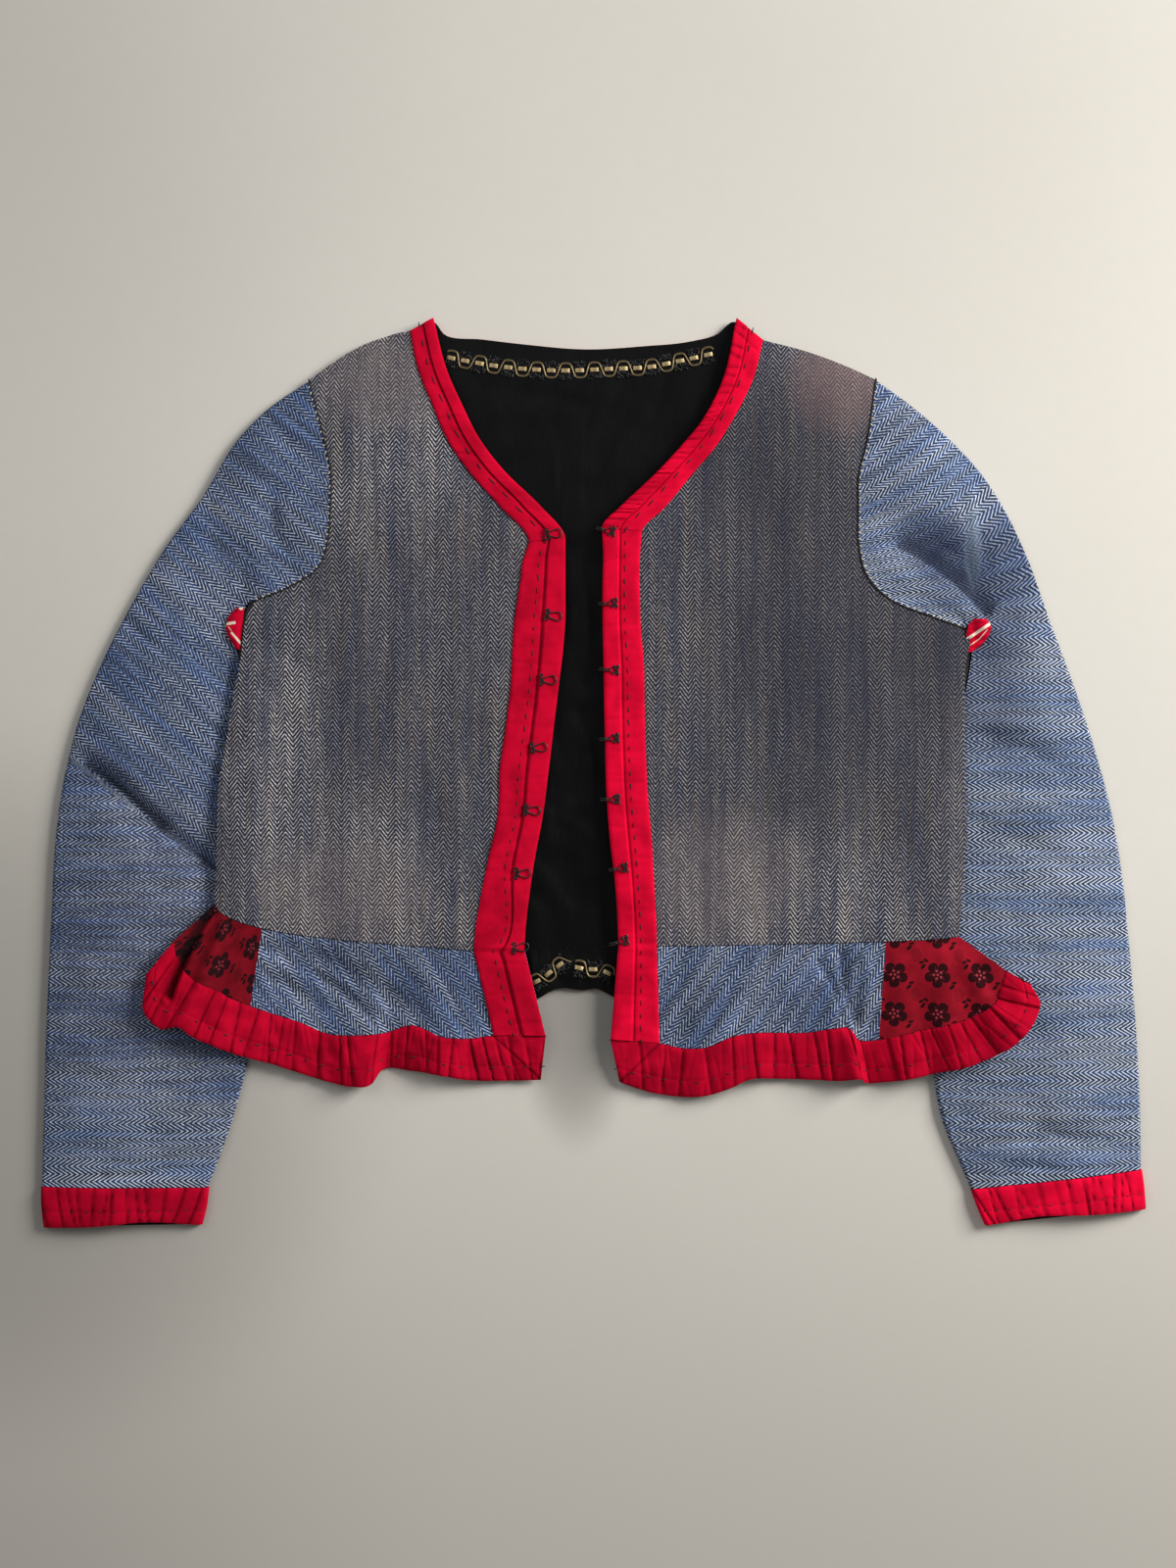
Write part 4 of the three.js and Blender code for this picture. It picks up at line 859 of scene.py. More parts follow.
def red_cotton(name, colour, fade):
    """Plain crimson cotton, a little worn where it stands up."""
    finish = Finish(name, roughness=0.88)
    finish.set("Specular IOR Level", 0.03)
    u, v = finish.cloth()
    yarn = finish.noise(u * 1.6, v * 1.6, 2.0)
    cloud = finish.noise(u * 0.06, v * 0.04, 3.0, 3.0)
    dark = tuple(c * 0.72 for c in colour)
    base = finish.blend(cloud.step(0.34, 0.62), dark, colour)
    base = finish.blend((yarn - 0.45) * cloud * 0.7, base, fade)
    # Painted shade: the red darkens deep in its creases
    base = finish.blend(finish.groove() * 0.9, base, tuple(c * 0.05 for c in colour))
    finish.set("Base Color", base)
    finish.bump(yarn, 0.25, 0.6)
    return finish.material


def printed_cotton(name, ground, black, pale, origin, turn=0.0):
    """Red cotton with rows of small five-petalled flowers and hatched ovals between them."""
    finish = Finish(name, roughness=0.85)
    finish.set("Specular IOR Level", 0.05)
    u, v = finish.cloth()
    c, s = math.cos(math.radians(turn)), math.sin(math.radians(turn))
    x = (u * c + v * s - origin[0]) / LATTICE[0]
    y = (v * c - u * s - origin[1]) / LATTICE[1]
    fx, fy = ((x + 0.5).fract() - 0.5) * LATTICE[0], ((y + 0.5).fract() - 0.5) * LATTICE[1]
    radius, angle = (fx * fx + fy * fy).root(), fy.atan2(fx)
    petal = abs((angle * 2.5 + 0.9).cos()) ** 0.38
    flower = 1 - (radius - (3.9 + petal * 4.9)).step(-0.3, 0.35)
    turn6 = ((angle / (2 * math.pi) * 5.0).fract() - 0.5) * (2 * math.pi / 5.0)
    ring_x, ring_y = radius - 2.6, turn6 * 2.6
    dots = 1 - (ring_x * ring_x + ring_y * ring_y).root().step(0.75, 1.05)
    heart = 1 - radius.step(0.7, 1.0)
    veins = 1 - (abs(turn6) * radius).step(0.12, 0.3)
    veins = veins * radius.step(3.4, 3.8) * (1 - radius.step(5.0, 5.6))
    ox, oy = (x.fract() - 0.5) * LATTICE[0], (y.fract() - 0.5) * LATTICE[1]
    oval = 1 - ((ox / 3.6) * (ox / 3.6) + (oy / 4.8) * (oy / 4.8)).step(0.85, 1.0)
    hatch = (oy * 0.9 + ox * 0.35).fract() - 0.5
    oval = oval * abs(hatch).step(0.2, 0.32)
    sprig = None
    for px, py, wide, tall, lean in (
        (-9.6, 5.6, 2.3, 1.2, 0.9), (-10.8, 8.4, 1.9, 1.0, 0.3), (-7.8, 9.6, 1.9, 1.0, -0.5),
        (9.4, -8.2, 2.3, 1.2, 0.7), (11.0, -5.4, 1.9, 1.0, 0.2),
    ):
        dx, dy = fx - px, fy - py
        lx = (dx * math.cos(lean) + dy * math.sin(lean)) / wide
        ly = (dy * math.cos(lean) - dx * math.sin(lean)) / tall
        leaf = 1 - (lx * lx + ly * ly).step(0.8, 1.05)
        sprig = leaf if sprig is None else sprig.most(leaf)
    yarn = finish.noise(u * 1.6, v * 1.6, 2.0)
    cloud = finish.noise(u * 0.07, v * 0.07, 3.0, 3.0)
    base = finish.blend(cloud.step(0.3, 0.7), tuple(g * 0.6 for g in ground), ground)
    base = finish.blend(oval * 0.55, base, black)
    ink = flower.most(sprig) * (0.82 + yarn * 0.2)
    base = finish.blend(ink, base, black)
    base = finish.blend(dots.most(heart).most(veins * 0.45) * flower * 0.75, base, pale)
    # Painted shade: the print darkens to black deep in its creases
    base = finish.blend(finish.groove() * 0.85, base, black)
    finish.set("Base Color", base)
    finish.bump(yarn, 0.25, 0.6)
    return finish.material


def satin(name, colour):
    """Black satin with a soft shine that wanders along the thread."""
    finish = Finish(name, colour, roughness=0.42)
    u, v = finish.cloth()
    thread = finish.noise(u * 1.4, v * 0.06, 2.0)
    cloud = finish.noise(u * 0.05, v * 0.02, 3.0, 3.0)
    finish.set("Roughness", 0.28 + cloud * 0.2)
    finish.set("Specular IOR Level", 0.13)
    # Painted sheen: lighter streaks along the thread in the satin's colour
    painted_sheen = tuple(c * 2.6 for c in colour)
    finish.set("Base Color", finish.blend(thread.step(0.4, 0.75) * 0.6, colour, painted_sheen))
    finish.bump(thread, 0.3, 0.3)
    return finish.material


def striped_cotton(name, ground, stripe, strokes):
    """Red cotton crossed by cream strokes, each from x, y to x, y with its half width."""
    finish = Finish(name, roughness=0.85)
    finish.set("Specular IOR Level", 0.05)
    x, y = finish.lay()
    edge = finish.noise(x * 0.9, y * 0.9, 2.0)
    colour = ground
    for x0, y0, x1, y1, half_width in strokes:
        x0, x1, y0, y1 = x0 + SHIFT[0], x1 + SHIFT[0], y0 + SHIFT[1], y1 + SHIFT[1]
        length = math.hypot(x1 - x0, y1 - y0)
        run_x, run_y = (x1 - x0) / length, (y1 - y0) / length
        along = ((x - x0) * run_x + (y - y0) * run_y).most(0.0).least(length)
        dx, dy = x - x0 - along * run_x, y - y0 - along * run_y
        away = (dx * dx + dy * dy).root() + edge * 0.6
        colour = finish.blend(1 - away.step(half_width, half_width + 0.5), colour, stripe)
    finish.set("Base Color", colour)
    return finish.material


def plain(name, colour, roughness, metallic=0.0):
    """One even colour with a little unevenness in its shine."""
    finish = Finish(name, colour, roughness, metallic)
    x, y = finish.lay()
    cloud = finish.noise(x * 1.2, y * 1.2, 2.0)
    finish.set("Roughness", roughness - 0.08 + cloud * 0.16)
    return finish.material


MATERIALS = {}


def finish_for(name):
    """A material of the jacket, made on first use from the colours in the panel."""
    if name in MATERIALS:
        return MATERIALS[name]
    panel = bpy.context.scene.jacket_colours

    def ink(key, scale=1.0):
        return tuple(part * scale for part in getattr(panel, key))

    threads = ("deep", "brown", "light", "blue")
    weave = dict(zip(threads, map(
        ink, ("weave_deep", "weave_brown", "weave_light", "weave_blue"))))
    denim = dict(zip(threads, map(
        ink, ("sleeve_deep", "sleeve_mid", "sleeve_cream", "sleeve_light"))))
    # shade is painted shade for the body; hollow, the sleeves' dark thread colour, paints shade
    # into the sleeves' hollows
    worn, stain, shade, hollow = map(ink, ("worn", "stain", "shade", "sleeve_deep"))
    makers = {
        # The body: worn and stained patches, painted shade at the underarms and over the right
        # front, and worn places where the pale threads show fully
        "herringbone_body": lambda: herringbone(name, weave, True, *BODY_WEAVE, (
            ((-140, 266), (60, 44), 0.45, worn), ((-170, -80), (80, 50), 0.3, worn),
            ((86, -70), (70, 60), 0.4, worn), ((166, 262), (44, 44), 0.5, stain),
            ((-174, 222), (20, 40), 0.35, shade), ((232, 80), (46, 70), 0.4, shade),
            ((160, 110), (120, 220), 0.42, shade), ((110, 215), (66, 80), 0.35, shade),
        ), 0.72, 0.56, (
            ((-140, 240), (85, 105)), ((-175, -85), (120, 90)), ((-222, 10), (60, 170)),
            ((110, -90), (170, 70)),
        )),
        # The sleeves: a worn patch, painted shade in the right sleeve's hollows and at the left
        # elbow, a painted highlight on the ridge by the right armhole, and painted light over the
        # right sleeve, which faces the lamp, with the left wrist's pale threads also shown fully
        "herringbone_sleeve": lambda: herringbone(name, denim, False, *SLEEVE_WEAVE, (
            ((-290, -120), (90, 150), 0.12, worn), ((243, 142), (34, 36), 0.8, hollow),
            ((224, 160), (28, 26), 0.6, hollow), ((-318, 6), (46, 20), 0.35, hollow),
            ((276, 128), (34, 66), 0.55, hollow), ((268, 52), (40, 66), 0.4, hollow),
            ((256, 150), (7, 42), 0.5, ink("sleeve_light", 0.62)),
        ), 1.45, 0.52, (((340, -30), (230, 420)), ((-320, -290), (120, 110)))),
        "herringbone_skirt": lambda: herringbone(name, denim, True, *SLEEVE_WEAVE, (), 0.78),
        "red_cotton": lambda: red_cotton(name, ink("crimson"), ink("crimson_worn")),
        # Painted light and shade: a brighter copy of the red for the right bands and cuff, a darker
        # one for the hem bands and the left cuff
        "red_cotton_bright": lambda: red_cotton(name, ink("crimson", 1.42), ink("crimson_worn")),
        "red_cotton_deep": lambda: red_cotton(name, ink("crimson", 0.86), ink("crimson_worn")),
        "printed_cotton": lambda: printed_cotton(
            name, ink("print_ground"), ink("print_black"), ink("print_pale"), (203.0, -136.0)),
        # The left print is a darker copy, painted shade, with its own placing and turn
        "printed_cotton_left": lambda: printed_cotton(
            name, ink("print_ground", 0.6), ink("print_black"), ink("print_pale", 0.6),
            (-245.0, -139.0), 24.0),
        "black_satin": lambda: satin(name, ink("satin")),
        "striped_cotton": lambda: striped_cotton(name, ink("crimson"), ink("cream"), (
            (-239.1, 114.3, -237.1, 110.5, 1.3), (-247.0, 100.1, -241.6, 100.9, 1.0),
            (-243.5, 94.1, -236.3, 85.5, 0.8), (-245.9, 98.1, -243.7, 95.7, 0.3),
            (252.4, 89.9, 266.8, 99.7, 1.0), (250.5, 83.0, 260.4, 89.9, 0.3),
            (260.4, 89.9, 265.3, 95.9, 0.3),
        )),
        "gilt_cord": lambda: plain(name, ink("gilt"), 0.4, 0.9),
        "dull_gilt": lambda: plain(name, ink("gilt", 0.45), 0.5, 0.7),
        "dark_wire": lambda: plain(name, ink("wire"), 0.42, 0.9),
        "black_thread": lambda: plain(name, (0.006, 0.006, 0.008), 0.7),
        "black_bead": lambda: plain(name, (0.006, 0.006, 0.007), 0.6),
        "cream_thread": lambda: plain(name, ink("cream"), 0.8),
    }
    MATERIALS[name] = makers[name]()
    return MATERIALS[name]


# ---- settings ------------------------------------------------------------------------------
def colour_property(name, description, default):
    return bpy.props.FloatVectorProperty(
        name=name, description=description, default=default, size=3, subtype="COLOR",
        min=0.0, max=1.0,
    )


def length_property(name, description, default, most=20.0):
    return bpy.props.FloatProperty(
        name=name, description=description + ", in millimetres", default=default, min=0.0,
        max=most,
    )


class JacketSizes(bpy.types.PropertyGroup):
    """Sizes of the cloth and the sewing."""

    grid_step: length_property("Grid step", "Distance between points of the cloth", 2.4)
    cloth_wall: length_property("Cloth", "Thickness of the herringbone cloth", 1.2, 3.0)
    lining_wall: length_property("Lining", "Thickness of the satin", 0.8, 3.0)
    facing_wall: length_property("Facing", "Thickness of the red facings", 1.0, 3.0)
    gather_depth: length_property("Gathers", "Height of the puffs in a hem band", 1.7, 3.0)
    gather_spacing: length_property("Gather spacing", "Usual distance between gathers", 12.0)
    stitch_length: length_property("Stitch", "Length of a running stitch", 4.2)
    overcast_length: length_property("Overcast stitch", "Length of an overcast stitch", 2.6)
    thread_radius: length_property("Thread", "Radius of the sewing thread", 0.3, 2.0)
    wire_radius: length_property("Wire", "Radius of the hook and eye wire", 0.42, 2.0)


class JacketColours(bpy.types.PropertyGroup):
    """Colours of the cloths and the trimmings."""

    weave_deep: colour_property("Body dark", "Indigo threads of the body", (0.010, 0.012, 0.026))
    weave_brown: colour_property("Body brown", "Brown threads of the body", (0.022, 0.016, 0.017))
    weave_light: colour_property("Cream thread", "Cream threads", (0.60, 0.57, 0.57))
    weave_blue: colour_property("Body pale", "Pale blue-grey threads", (0.30, 0.32, 0.41))
    sleeve_deep: colour_property("Sleeve dark", "Dark blue threads", (0.008, 0.017, 0.055))
    sleeve_mid: colour_property("Sleeve blue", "Blue threads", (0.016, 0.042, 0.145))
    sleeve_light: colour_property("Sleeve pale", "Pale blue threads", (0.25, 0.33, 0.45))
    sleeve_cream: colour_property(
        "Sleeve cream", "Cream threads of the sleeves", (0.50, 0.54, 0.58))
    worn: colour_property("Worn", "Where the body has browned", (0.135, 0.105, 0.10))
    stain: colour_property("Stain", "The pink-brown stain on a shoulder", (0.20, 0.12, 0.115))
    # Painted shade on the body at its underarms, also darkening its right front
    shade: colour_property("Shade", "Darker handled cloth", (0.012, 0.012, 0.020))
    crimson: colour_property("Crimson", "The red cotton", (0.47, 0.0012, 0.020))
    crimson_worn: colour_property(
        "Worn crimson", "Red cotton where it is rubbed", (0.66, 0.016, 0.075))
    print_ground: colour_property(
        "Print ground", "Ground of the printed cotton", (0.29, 0.006, 0.017))
    print_black: colour_property(
        "Print black", "Flowers of the printed cotton", (0.005, 0.003, 0.004))
    print_pale: colour_property("Print centre", "Centres of the flowers", (0.38, 0.04, 0.06))
    satin: colour_property("Satin", "The black lining", (0.0013, 0.0013, 0.0015))
    gilt: colour_property("Gilt", "The cord of the braid", (0.50, 0.38, 0.20))
    wire: colour_property("Wire", "Hooks and eyes", (0.045, 0.042, 0.04))
    cream: colour_property("Cream", "Cream thread and stripe", (0.70, 0.62, 0.48))


def sizes():
    return bpy.context.scene.jacket_sizes


# ---- back and lining -----------------------------------------------------------------------
def back_grid(top_column, step):
    """Fine plan points of the back, ending at the cloth's or the neck facing's top edge."""
    width = BACK_TOP[-1, 0] - BACK_TOP[0, 0]
    last = len(FRONT_LEFT) - 1
    columns = even_rows(BACK_TOP[:, :2], step)
    column = spline(BACK_TOP, columns)
    u = ((column[:, 0] - BACK_TOP[0, 0]) / width)[None]
    rows = even_rows((FRONT_LEFT[:, :2] + FRONT_RIGHT[:, :2]) / 2, step)
    left, right = spline(FRONT_LEFT[:, :2], rows), spline(FRONT_RIGHT[:, :2], rows)
    x = mix(left[:, 0:1], right[:, 0:1], u)
    y = mix(left[:, 1:2], right[:, 1:2], u)
    level = mix(FRONT_LEFT[last, 1], FRONT_RIGHT[last, 1], u)
    y = y + (column[None, :, top_column] - level) * (
        np.maximum(0, 1 - (last - rows[:, None]) * 0.3) ** 1.5)
    y[0] = waist_y(x[0])
    return x, y


def swell(x, height, width):
    """How far the slack lining rises about the middle of the opening."""
    return height * np.exp(-((x - OPENING_X) / width) ** 2)


def lining_relief(x, y):
    """How far the lining stands above its lowest place: a slack middle with small creases."""
    relief = ripples(x, y, 21, 30, 0.2) - troughs(LINING_CREASES, x, y)
    calm = smooth((286 - y) / 14)
    lift = swell(x, 1.3, 55) * smooth((y - LINING_WAIST) / 12) * calm
    return lift + np.maximum(relief * calm, -0.25 - lift)


def build_back():
    """The back panel, the black lining over it and the red band inside the neck."""
    s = sizes()
    x, y = back_grid(1, s.grid_step * 2)
    top = np.dstack([x, y, back_height(x, y) + CLOTH])
    cloth_piece("back_panel", top, CLOTH, top[..., :2], "herringbone_body")
    x, y = back_grid(2, s.grid_step * 1.3)
    height = back_height(x, y) + CLOTH + GAP + LINING + lining_relief(x, y)
    top = np.dstack([x, y, height])
    cloth_piece("back_lining", top, s.lining_wall, top[..., :2], "black_satin",
                rests_on=["back_panel"])
    first, end = NECK_COLUMNS
    edge = spline(BACK_TOP, even_rows(BACK_TOP[:, :2], s.grid_step, first, end))
    across = np.linspace(0, 1, 8)[:, None]
    x = edge[None, :, 0] + 0 * across
    y = mix(edge[None, :, 1] + GAP, edge[None, :, 2], across)
    top = np.dstack([x, y, np.full_like(x, CLOTH) + ripples(x, y, 3, 14, 0.12)])
    cloth_piece("neck_facing_back", top, CLOTH * 0.8, top[..., :2], "red_cotton")


# ---- fronts and facings --------------------------------------------------------------------
def build_fronts():
    """The two fronts."""
    step = sizes().grid_step
    for half in HALVES:
        rows = even_rows(half.front[:, 2:], step)
        u = np.linspace(0, 1, int(FRONT_WIDTH / step))[None]
        x, y = front_plan(half, rows, u)
        v = np.linspace(0, 0.965, int(FACING_WIDTH / step))[None, 1:]
        edge_x, edge_y = between(spline(half.front, rows), v, 2)
        x, y = np.hstack([x, edge_x]), np.hstack([y, edge_y])
        top = np.dstack([x, y, half.under_front(x, y) + CLOTH])
        cloth_piece(f"front_{half.name}", top, sizes().cloth_wall, top[..., :2],
                    "herringbone_body", inside="black_satin", rests_on=["back_lining"])


def facing_base(half):
    """Rows of (facing edge, opening edge) points down the front, with cloth heights between."""
    u = np.linspace(0, 1, 18)
    rows = []
    for t in (1, 0.88, 0.75, 0.62, 0.5, 0.38, 0.25, 0.12, 0):
        x, y, z = skirt_point(half, 1 - u, np.array([[t]]))
        rows.append(np.stack([a[:, 0] for a in (x, y, z)], axis=1))
    for i in range(NECK_CORNER + 1):
        _, _, fx, fy, ex, ey = half.front[i]
        x, y = mix(fx, ex, u), mix(fy, ey, u) - (GAP if i == NECK_CORNER else 0)
        rows.append(np.stack([x, y, half.under_front(x, y)], axis=1))
    return np.array(rows)


def band_profile(u, width):
    """A facing's height across it: tucked part raised, edges rolled down, stitch line sunk."""
    tuck = (TUCK + 0.25) * smooth((u - TUCK_EDGE) / 0.04)
    sunk = 0.55 * np.exp(-(((u - TUCK_LINE) / 0.03) ** 2))
    near = np.minimum(u, 1 - u) * width
    return FACING + tuck - sunk - 0.75 * np.exp(-near / 0.9)


def facing_grid(half, part):
    """A facing's top points, with each one's cloth coordinates and how deep in a crease it is."""
    u = np.linspace(0, 1, FACING_COLUMNS)[None]
    if part == "neck":
        table = spline(half.front, even_rows(half.front[:, 2:], FACING_STEP, NECK_CORNER))
        x, y = between(table, u, 2)
        z = half.under_front(x, y)
    else:
        base = facing_base(half)
        flat = base.reshape(len(base), -1)
        fine = spline(flat, even_rows(flat[:, -3:], FACING_STEP)).reshape(-1, base.shape[1], 3)
        old = np.linspace(0, 1, base.shape[1])
        x, y, z = (
            np.array([np.interp(u[0], old, row[:, axis]) for row in fine]) for axis in range(3)
        )
        z = mix(z, half.under_front(x, y), smooth((y - waist_y(x)) / 5))
    along = down_column(x, y, FACING_COLUMNS // 2) + 0 * u
    across = 0 * along + u
    width = float(np.median(np.hypot(x[:, 0] - x[:, -1], y[:, 0] - y[:, -1])))
    seed = 30 + len(part) * 3 + half.sign
    wrinkle = gathers(along, across, seed, 12, 0.35, 1.3, 0.15)
    groove = 0.75 * np.exp(-(((across - TUCK_GROOVE) / 0.018) ** 2))
    if part == "neck" and half.sign > 0:
        puff, crease = panels(along, across, seed + 9, 4.6, 0.75, 0.12, 5.0)
        inner = smooth((across - TUCK_EDGE) / 0.04)
        groove = np.maximum(groove, crease * inner * 0.9)
        wrinkle = wrinkle - (puff - 0.55) * inner
    else:
        wrinkle = wrinkle + 0.5 * gathers(along, across, seed + 9, 6.0, 0.4, 0.9, 0.2)
    calm = 0.6 * ripples(along, u * width, seed + 1, 13, 0.16)
    z = z + CLOTH + GAP + band_profile(u, width) - np.minimum(wrinkle, 1.1) + calm
    return np.dstack([x, y, z]), np.dstack([across * width, along]), groove


def build_facings():
    """The red bands round the neck and down the opening."""
    for half in HALVES:
        for part in ("neck", "front"):
            top, uv, groove = facing_grid(half, part)
            # The right bands take the brighter copy of the red, painted light
            red = "red_cotton_bright" if half.sign > 0 else "red_cotton"
            cloth_piece(f"{part}_facing_{half.name}", top, sizes().facing_wall, uv, "red_cotton",
                        red, rests_on=[f"front_{half.name}"], groove=groove)


# ---- skirt ---------------------------------------------------------------------------------
def skirt_grid(half, first, last, t, step):
    """Fine points of part of a skirt's upper side."""
    rows = even_rows(half.skirt[:, 1:3], step, first, last)
    x, y, z = skirt_point(half, rows, t)
    return np.dstack([x, y, z])


def skirt_groove(top):
    """How deep in a skirt crease each point lies, from 0 to 1."""
    return np.clip(troughs(SKIRT_CREASES, top[..., 0], top[..., 1]) / 4.5 - 0.35, 0, 1)


def build_skirt():
    """The front skirts, the back skirt with its band, and its lining."""
    s = sizes()
    for half in HALVES:
        t = np.linspace(0, 1, int(SKIRT_DEPTH / s.grid_step))[None]
        top = skirt_grid(half, 0, GODET_SEAM, t, s.grid_step * 0.8)
        top[..., 2] += CLOTH
        turn = math.radians(SKIRT_TURN) * half.sign
        x, y = top[..., 0], top[..., 1]
        uv = np.dstack([x * math.sin(turn) - y * math.cos(turn),
                        x * math.cos(turn) + y * math.sin(turn)])
        cloth_piece(f"skirt_front_{half.name}", top, s.cloth_wall, uv, "herringbone_skirt",
                    None, "black_satin", "gathered", ["skirt_lining"], groove=skirt_groove(top))
    table = spline(SKIRT_BACK, even_rows(SKIRT_BACK[:, :3:2], s.grid_step))[:, None, :]
    u = np.linspace(0, 1, BACK_ROWS)[None]
    x, y = down_skirt(table, u)[:2]
    top = np.dstack([x, y, back_height(x, y) + CLOTH])
    cloth_piece("skirt_back", top, CLOTH, top[..., :2], "herringbone_skirt", held="gathered")
    x, y = down_skirt(table, np.linspace(1.012, 2, BACK_ROWS)[None])[:2]
    arc = down_column(x, y, BACK_ROWS // 2)
    relief = gathers(arc + 0 * u, 0 * arc + u, 77, 9, 0.5, 1.4)
    top = np.dstack([x, y, back_height(x, y) + CLOTH - relief * 0.6])
    cloth_piece("hem_band_back", top, CLOTH * 0.7, np.dstack([u * 20 + 0 * arc, arc + 0 * u]),
                "red_cotton", held="gathered", fullness=1.1)
    t = np.linspace(0, 2, 44)[None]
    x, y = down_skirt(table, t)[:2]
    arc = down_column(x, y, 20)
    folds = gathers(arc + 0 * t, 0 * arc + t / 2, 55, 11, 1.3, 3.0, 0.2, 0.5)
    folds += 0.8 * gathers(arc + 0 * t, 0 * arc + t / 2, 56, 6, 0.8, 1.6, 0.3, 0.4)
    lift = swell(x, 1.6, 50) * np.exp(-((t - 1.0) / 0.75) ** 2)
    relief = lift - np.minimum(folds, 0.3 + lift) + 0.2
    top = np.dstack([x, y, back_height(x, y) + CLOTH + GAP + LINING + relief])
    # The printed part of the lining takes the darker left print, painted shade
    cloth_piece("skirt_lining", top, s.lining_wall, top[..., :2], "black_satin",
                held="gathered", rests_on=["skirt_back"], fullness=1.1,
                face_material=lambda centres: np.where(centres[:, 0] < PRINT_EDGE, 1, 0),
                materials=[finish_for("printed_cotton_left")])


def build_godets():
    """The printed pieces let into the sides of the skirt."""
    step = sizes().grid_step
    for half in HALVES:
        t = np.linspace(0, 1, int(GODET_DEPTH / step))[None]
        top = skirt_grid(half, GODET_SEAM, len(half.skirt) - 1, t, step * 0.5)
        top[..., 2] += CLOTH
        if half.sign > 0:
            uv, material = top[..., :2].copy(), "printed_cotton"
        else:
            # The left godet takes the darker copy of the print, painted shade
            fan = -238 - 88 * np.linspace(0, 1, len(top))[:, None]
            uv, material = np.dstack([fan + 0 * t, top[..., 1]]), "printed_cotton_left"
        cloth_piece(f"godet_{half.name}", top, sizes().cloth_wall, uv, "printed_cotton", material,
                    "black_satin", "gathered", ["skirt_lining"], groove=skirt_groove(top))


def hem_grid(half):
    """A hem band's top points, with each one's cloth coordinates and how deep in a crease it is."""
    s = sizes()
    u = np.linspace(0, 1, HEM_COLUMNS)[None]
    x, y, z = skirt_point(half, even_rows(half.skirt[:, 3:5], HEM_STEP), 1 + u)
    arc = down_column(x, y, HEM_COLUMNS // 2)
    along, across = arc + 0 * u, 0 * arc + u
    seed = 60 + half.sign
    puffs, crease = panels(along, across, seed, s.gather_spacing, s.gather_depth, 0.12)
    folds = 0.6 * gathers(along, across, seed + 5, 5.5, 0.7, 0.8, 0.3) - puffs + 0.9
    mitre = troughs([(*half.skirt[1, 1:3], *half.skirt[0, 3:5], 1.0, 0.7, 0, 1)], x, y)
    at_corner = 1 - smooth((arc - 28) / 6)
    crease = np.maximum(crease * (0.62 - 0.5 * at_corner), mitre * 0.8)
    folds = folds + mitre * 0.5
    puff = 0.6 * np.sin(np.pi * np.clip(u * 1.1, 0, 1)) + ripples(arc, u * 30, seed, 16, 0.3)
    stitch = 0.45 * np.exp(-(((u - 0.66) / 0.03) ** 2))
    roll = 0.8 * np.exp(-u * 32) * (1 - 0.85 * at_corner) + np.exp(-(1 - u) * 32 / 1.1)
    z = z + HEM + puff - np.minimum(folds, 1.7) - stitch - roll
    z = np.maximum(z, s.facing_wall + HEM_TURNING)
    x = x + 0.5 * np.sin(arc / 3.1 + half.sign) * (u - 0.5)
    top = np.dstack([x, y - GAP * (1 - u), z])
    return top, np.dstack([across * 32, along]), np.maximum(crease, skirt_groove(top))


def build_hem_bands():
    """The gathered red bands round the front hems."""
    for half in HALVES:
        top, uv, groove = hem_grid(half)
        # The hem bands take the darker copy of the red, painted shade
        cloth_piece(f"hem_band_{half.name}", top, sizes().facing_wall + HEM_TURNING, uv,
                    "red_cotton", "red_cotton_deep", "black_satin", "gathered",
                    [f"skirt_front_{half.name}"], 1.12, groove=groove)


# ---- sleeves -------------------------------------------------------------------------------
def sleeve_rings(half, k, s):
    """Plan points, top heights and floors of sleeve sections k at places s from 0 to 1."""
    seam_rows = np.linspace(0, len(half.armhole) - 1, 200)
    seam = spline(half.armhole, seam_rows)
    lengths = arc_length(seam) / arc_length(seam)[-1]
    seam_x, seam_y = np.interp(s, lengths, seam[:, 0]), np.interp(s, lengths, seam[:, 1])
    start = np.concatenate([half.armhole[0], half.armhole[-1]])
    ends = spline(np.vstack([start, half.sleeve]), k)
    bulge_x = seam_x - mix(start[0], start[2], s)
    bulge_y = seam_y - mix(start[1], start[3], s)
    kk = k[:, None]
    carry = np.maximum(0, 1 - kk / 3.2) ** 2
    arm = np.maximum(0, 1 - kk / 3) ** 1.5
    under = np.clip((kk - 1) / 2, 0, 1)
    scale = 1 - 0.12 * np.maximum(0, kk - 12)
    x, y = between(ends, s)
    x, y = x + bulge_x * carry, y + bulge_y * carry
    span = breadth(ends)
    inside = mix((1 - s) * span, np.maximum(0, half.inside_sleeve(x, y)), under)
    outer = 1 - np.maximum(0, 1 - s * span / 60) ** 2
    height = SLEEVE_RISE * scale * inner_rise(inside) * outer
    fold = troughs(SLEEVE_FOLDS, x, y) + troughs(SLEEVE_CREASES, x, y)
    fold = fold - ripples(x, y, 14, 40, 0.3) - ripples(x, y, 31, 17, 0.12)
    free = FOLD_HEIGHT + np.maximum(0, height - fold * outer)
    seam_top = half.under_front(seam_x, seam_y) + CLOTH
    tops = mix(free, seam_top, arm)
    floors = half.rest(seam_x, seam_y) * arm
    return x, y, tops, floors, span, np.minimum(kk, 2) * 0.7


